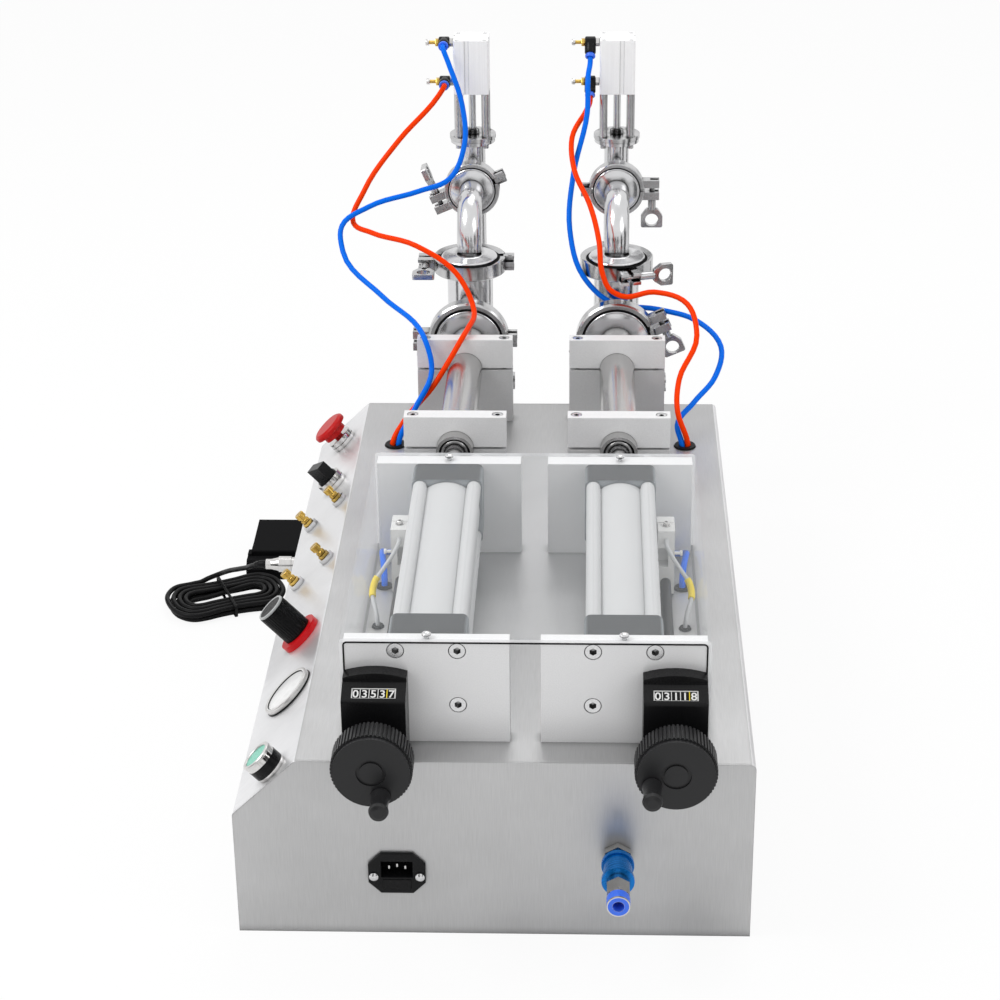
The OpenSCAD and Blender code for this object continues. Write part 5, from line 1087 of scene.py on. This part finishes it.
SLIDE_OUT, SLIDE_HALF = 43.0, 8.0
SLIDE_PIN_DROP, SLIDE_SCREW_IN, SLIDE_SCREW_SUNK = 30.0, 17.0, 0.9
SLIDE_SCREW = ((0.1, -0.2), (4.1, -0.2), (4.3, 0.4), (4.2, 0.9), (2.9, 0.9), (2.9, 1.0), (2.8, 3.4),
               (2.4, 3.8), (1.4, 3.8), (1.3, 2.4), (0.1, 2.3))
SLIDE_PIN_SIDES = 32
SLIDE_PIN = ((0.1, -0.3), (1.5, -0.3), (1.5, 5.4), (2.5, 5.9), (2.7, 6.6), (2.6, 7.6), (2.2, 8.0),
             (0.1, 8.0))


class FILLER_OT_slide_trim(bpy.types.Operator):
    """Clamp screw and stop pin on each sensor slide"""
    bl_idname = "filler.slide_trim"
    bl_label = "Slide trim"

    def execute(self, context):
        for side, x, word in zip(SIDES, HEAD_X, WORDS):
            low, high = (1000 * np.array(corner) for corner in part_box(f"{word}_sensor_slide"))
            body, y = f"{word}_slide", high[1] - SLIDE_SCREW_IN
            screw = turned(SLIDE_SCREW, (x + side * SLIDE_OUT, y, high[2] - SLIDE_SCREW_SUNK), (0, 0, 1))
            skin(f"{word}_slide_screw", [screw], "nickel", body)
            face = (x + side * (SLIDE_OUT + SLIDE_HALF), y, high[2] - SLIDE_PIN_DROP)
            skin(f"{word}_slide_pin", [turned(SLIDE_PIN, face, (side, 0, 0), SLIDE_PIN_SIDES)], "white", body)
        return {"FINISHED"}


TUBE_MOUTH_Y, TUBE_R, ROD_R = 108.0, 16.0, 10.0
ROD_GUIDE = ((ROD_R + 0.3, 1.6), (13.4, 0.8), (13.9, 1.3), (14.0, 8.0), (TUBE_R - 0.1, 8.2),
             (TUBE_R - 0.1, 14.0), (ROD_R + 0.3, 14.0), (ROD_R + 0.3, 1.6))
# Black ring in the tube's mouth, between the tube's wall and the rod guide
ROD_BLACK_RING = ((14.1, 2.2), (15.0, 1.6), (TUBE_R - 0.15, 2.4), (TUBE_R - 0.15, 7.8), (14.1, 7.8), (14.1, 2.2))
NUT_Z, NUT_H, NUT_AF = 425.3, 5.0, 13.0
NUT_EDGE = 0.0002               # Metres
NUT_R = NUT_AF / 2 / math.cos(math.pi / 6) + 0.15
ROD_NUT = ((5.0, -0.1), (NUT_R - 0.8, -0.1), (NUT_R, 0.5), (NUT_R, NUT_H - 0.6), (NUT_R - 1.0, NUT_H + 0.2),
           (5.6, NUT_H + 0.2), (5.0, NUT_H - 0.3), (5.0, -0.1))
PLATE_Y, PLATE_TOP, STRIP_FOOT = -346.0, 270.0, 175.0
GUARD_HALF, STRIP_IN, STRIP_CORNER = 153.0, 0.4, 3.0
STRIP_SECTION = ((0.7, 0.05), (0.7, 0.55), (0.35, 0.8), (-0.35, 0.8), (-0.7, 0.55), (-0.7, 0.05))


def guard_dark_strip():
    """Black strip around the guard's front end: up one side, over a quarter circle at each corner, across and
    down, each point moved aside and forwards by the section's pairs."""
    c, half = STRIP_CORNER, GUARD_HALF - STRIP_IN
    turn = np.radians(np.linspace(180, 90, 9))
    left = np.stack([MIDDLE_X - half + c + c * np.cos(turn), PLATE_TOP - c + c * np.sin(turn)], -1)
    line = np.concatenate([[[MIDDLE_X - half, STRIP_FOOT]], left, (left * [-1, 1] + [2 * MIDDLE_X, 0])[::-1],
                           [[MIDDLE_X + half, STRIP_FOOT]]])
    t = np.gradient(line, axis=0)
    t /= np.linalg.norm(t, axis=1, keepdims=True)
    aside = np.stack([-t[:, 1], t[:, 0]], -1)
    a, out = np.array(STRIP_SECTION).T
    q = line[:, None] + aside[:, None] * a[None, :, None]
    return metres(np.stack([q[..., 0], np.broadcast_to(PLATE_Y - out, q.shape[:2]), q[..., 1]], -1))


class FILLER_OT_head_trim(bpy.types.Operator):
    """Rod guides in the metering tubes' mouths, black lock nuts on the lifts and a black strip along the
    guard's front end
    """
    bl_idname = "filler.head_trim"
    bl_label = "Head trim"

    def execute(self, context):
        mouths = [(x, TUBE_MOUTH_Y, AXIS_Z) for x in HEAD_X]
        for name, profile, kind in (("rod_guides", ROD_GUIDE, "tube"), ("rod_black_rings", ROD_BLACK_RING, "rubber")):
            skin(name, [turned(profile, mouth, (0, 1, 0), RING_SIDES) for mouth in mouths], kind)
        for x, word in zip(HEAD_X, WORDS):
            nut = turned(ROD_NUT, (x, NOZZLE_Y, NUT_Z), (0, 0, 1), 6)
            skin(f"{word}_rod_nut", [nut], "black", f"{word}_nozzle_plunger", bevel=NUT_EDGE)
        skin("guard_dark_strip", [guard_dark_strip()], "rubber")
        return {"FINISHED"}


CAMERA_AT = (79.8, -2125.1, 1258.6)
CAMERA_YAW, CAMERA_PITCH, CAMERA_ROLL = -0.040, 0.448, -0.012
CAMERA_FOCUS, PHOTO_PX = 2431.7, 1000               # Focal length and width of the photograph, in pixels
SENSOR, CLIP = 36, (0.05, 50)
AIM = (0, 0.1, 0.2)
# Place, size and power of each lamp
LAMPS = {
    "key": ((-1.9, -0.6, 2.4), 1.2, 34.0),
    "fill": ((2.0, -1.0, 1.6), 1.2, 9.0),
    "top": ((0.2, 1.3, 2.4), 1.4, 12.0),
}
FLOOR_SPAN, FLOOR_GLOW = 14.0, 0.90
WORLD_SEEN, WORLD_LIGHT = 0.30, 0.70                # Added where it is seen, and always there
# X and y of each dark card, its width, its turn in degrees and its height
CARDS = (
    (-0.46, 0.30, 0.10, 85, 0.30), (-0.62, -0.55, 0.30, 60, 0.42), (0.47, 0.06, 0.18, -80, 0.42),
    (0.46, 0.40, 0.12, -85, 0.42), (0.42, 0.74, 0.16, -60, 0.42), (-0.25, -0.92, 0.26, 10, 0.5),
    (0.38, -0.90, 0.20, -15, 0.5), (0.06, 1.0, 0.10, 0, 0.3),
)
CARD_FOOT = 0.002


def screen(name, corners, material):
    """One flat quad of the stage, in metres."""
    mesh = bpy.data.meshes.new(name)
    mesh.from_pydata([tuple(map(float, corner)) for corner in corners], [], [(0, 1, 2, 3)])
    mesh.materials.append(material)
    return placed(name, mesh)


class FILLER_OT_stage(bpy.types.Operator):
    """Camera, floor, soft lamps, white surroundings and dark cards that show only in the gloss"""
    bl_idname = "filler.stage"
    bl_label = "Stage"

    def execute(self, context):
        scene = context.scene
        scene.view_settings.view_transform = "Standard"
        self.camera(scene)
        self.floor()
        self.surroundings(scene)
        self.cards()
        for name, (at, spread, power) in LAMPS.items():
            lamp = bpy.data.lights.new(name, "AREA")
            lamp.size, lamp.energy = spread, power
            turn = (Vector(AIM) - Vector(at)).to_track_quat("-Z", "Y").to_matrix().to_4x4()
            placed(name, lamp).matrix_world = Matrix.Translation(at) @ turn
        return {"FINISHED"}

    def camera(self, scene):
        """The photograph's camera: its yaw, pitch and roll as solved from the cabinet."""
        yaw, pitch, roll = CAMERA_YAW, CAMERA_PITCH, CAMERA_ROLL
        ahead = np.array([math.sin(yaw) * math.cos(pitch), math.cos(yaw) * math.cos(pitch), -math.sin(pitch)])
        level = np.array([math.cos(yaw), -math.sin(yaw), 0])
        above = np.cross(level, ahead)
        right = math.cos(roll) * level + math.sin(roll) * above
        up = math.cos(roll) * above - math.sin(roll) * level
        data = bpy.data.cameras.new("camera")
        data.sensor_width, data.lens = SENSOR, SENSOR * CAMERA_FOCUS / PHOTO_PX
        data.clip_start, data.clip_end = CLIP
        camera = placed("camera", data)
        camera.matrix_world = Matrix([(right[k], up[k], -ahead[k], CAMERA_AT[k] / 1000) for k in range(3)]
                                     + [(0, 0, 0, 1)])
        scene.camera = camera

    def floor(self):
        """Pale floor that keeps its shadow and glows where the camera sees it."""
        f = Finish("floor", Base_Color=(0.9, 0.9, 0.9), Roughness=0.9, Specular_IOR_Level=0.0)
        seen = f.node("ShaderNodeLightPath", out="Is Camera Ray")
        glow = f.node("ShaderNodeEmission", None, {"Color": (1, 1, 1), "Strength": 1.0})
        blend = f.node("ShaderNodeMixShader", None,
                       {0: seen * FLOOR_GLOW, 1: Value(f, f.shader.outputs[0]), 2: glow})
        f.feed(f.tree.nodes["Material Output"].inputs["Surface"], blend)
        s = FLOOR_SPAN
        floor = screen("floor", [(-s, -s, 0), (s, -s, 0), (s, s, 0), (-s, s, 0)], f.material)

    def cards(self):
        """Upright dark strips beyond the object, seen by glossy rays alone."""
        f = Finish("dark_card", Base_Color=(0.02, 0.02, 0.02), Roughness=1.0, Specular_IOR_Level=0.0)
        for k, (x, y, w, turn, h) in enumerate(CARDS):
            a = math.radians(turn)
            half = np.array([math.cos(a), -math.sin(a)]) * w / 2
            near, far = np.array([x, y]) - half, np.array([x, y]) + half
            card = screen(f"card_{k + 1}", [(*near, CARD_FOOT), (*far, CARD_FOOT), (*far, h), (*near, h)],
                          f.material)
            card.visible_camera = card.visible_diffuse = card.visible_shadow = False
            card.visible_transmission = False

    def surroundings(self, scene):
        """White where camera, glossy and clear rays see it, and dimmer as a source of light."""
        world = bpy.data.worlds.new("surroundings")
        world.use_nodes = True
        scene.world = world
        g = Graph(world.node_tree)
        seen, gloss, clear = (g.node("ShaderNodeLightPath", out=f"Is {ray} Ray")
                              for ray in ("Camera", "Glossy", "Transmission"))
        white = g.node("ShaderNodeMath", {"operation": "MINIMUM"}, {0: seen + gloss + clear, 1: 1.0})
        background = world.node_tree.nodes["Background"]
        background.inputs["Color"].default_value = (1, 1, 1, 1)
        g.feed(background.inputs["Strength"], white * WORLD_SEEN + WORLD_LIGHT)


class FILLER_PT_panel(bpy.types.Panel):
    """Lists the machine's pieces and their sizes and colours"""
    bl_idname = "FILLER_PT_panel"
    bl_label = "Liquid filler"
    bl_space_type = "VIEW_3D"
    bl_region_type = "UI"
    bl_category = "Filler"

    def draw(self, context):
        for step in STEPS:
            self.layout.operator(step.bl_idname)
        for group in (context.scene.filler_sizes, context.scene.filler_colours):
            column = self.layout.column(align=True)
            for name in group.__annotations__:
                column.prop(group, name)


STEPS = (FILLER_OT_air_tubes, FILLER_OT_guard_lines, FILLER_OT_pedal_cord, FILLER_OT_finishes,
         FILLER_OT_flow_controls, FILLER_OT_counter_windows, FILLER_OT_panel_trim,
         FILLER_OT_inlet_trim, FILLER_OT_clamp_trim, FILLER_OT_slide_trim, FILLER_OT_head_trim,
         FILLER_OT_stage)
CLASSES = (FillerSizes, FillerColours, *STEPS, FILLER_PT_panel)


def register():
    for kind in CLASSES:
        bpy.utils.register_class(kind)
    bpy.types.Scene.filler_sizes = PointerProperty(type=FillerSizes)
    bpy.types.Scene.filler_colours = PointerProperty(type=FillerColours)


def unregister():
    del bpy.types.Scene.filler_sizes
    del bpy.types.Scene.filler_colours
    for kind in reversed(CLASSES):
        bpy.utils.unregister_class(kind)


def main():
    register()
    for step in STEPS:
        group, name = step.bl_idname.split(".")
        getattr(getattr(bpy.ops, group), name)()


if __name__ == "__main__":
    main()
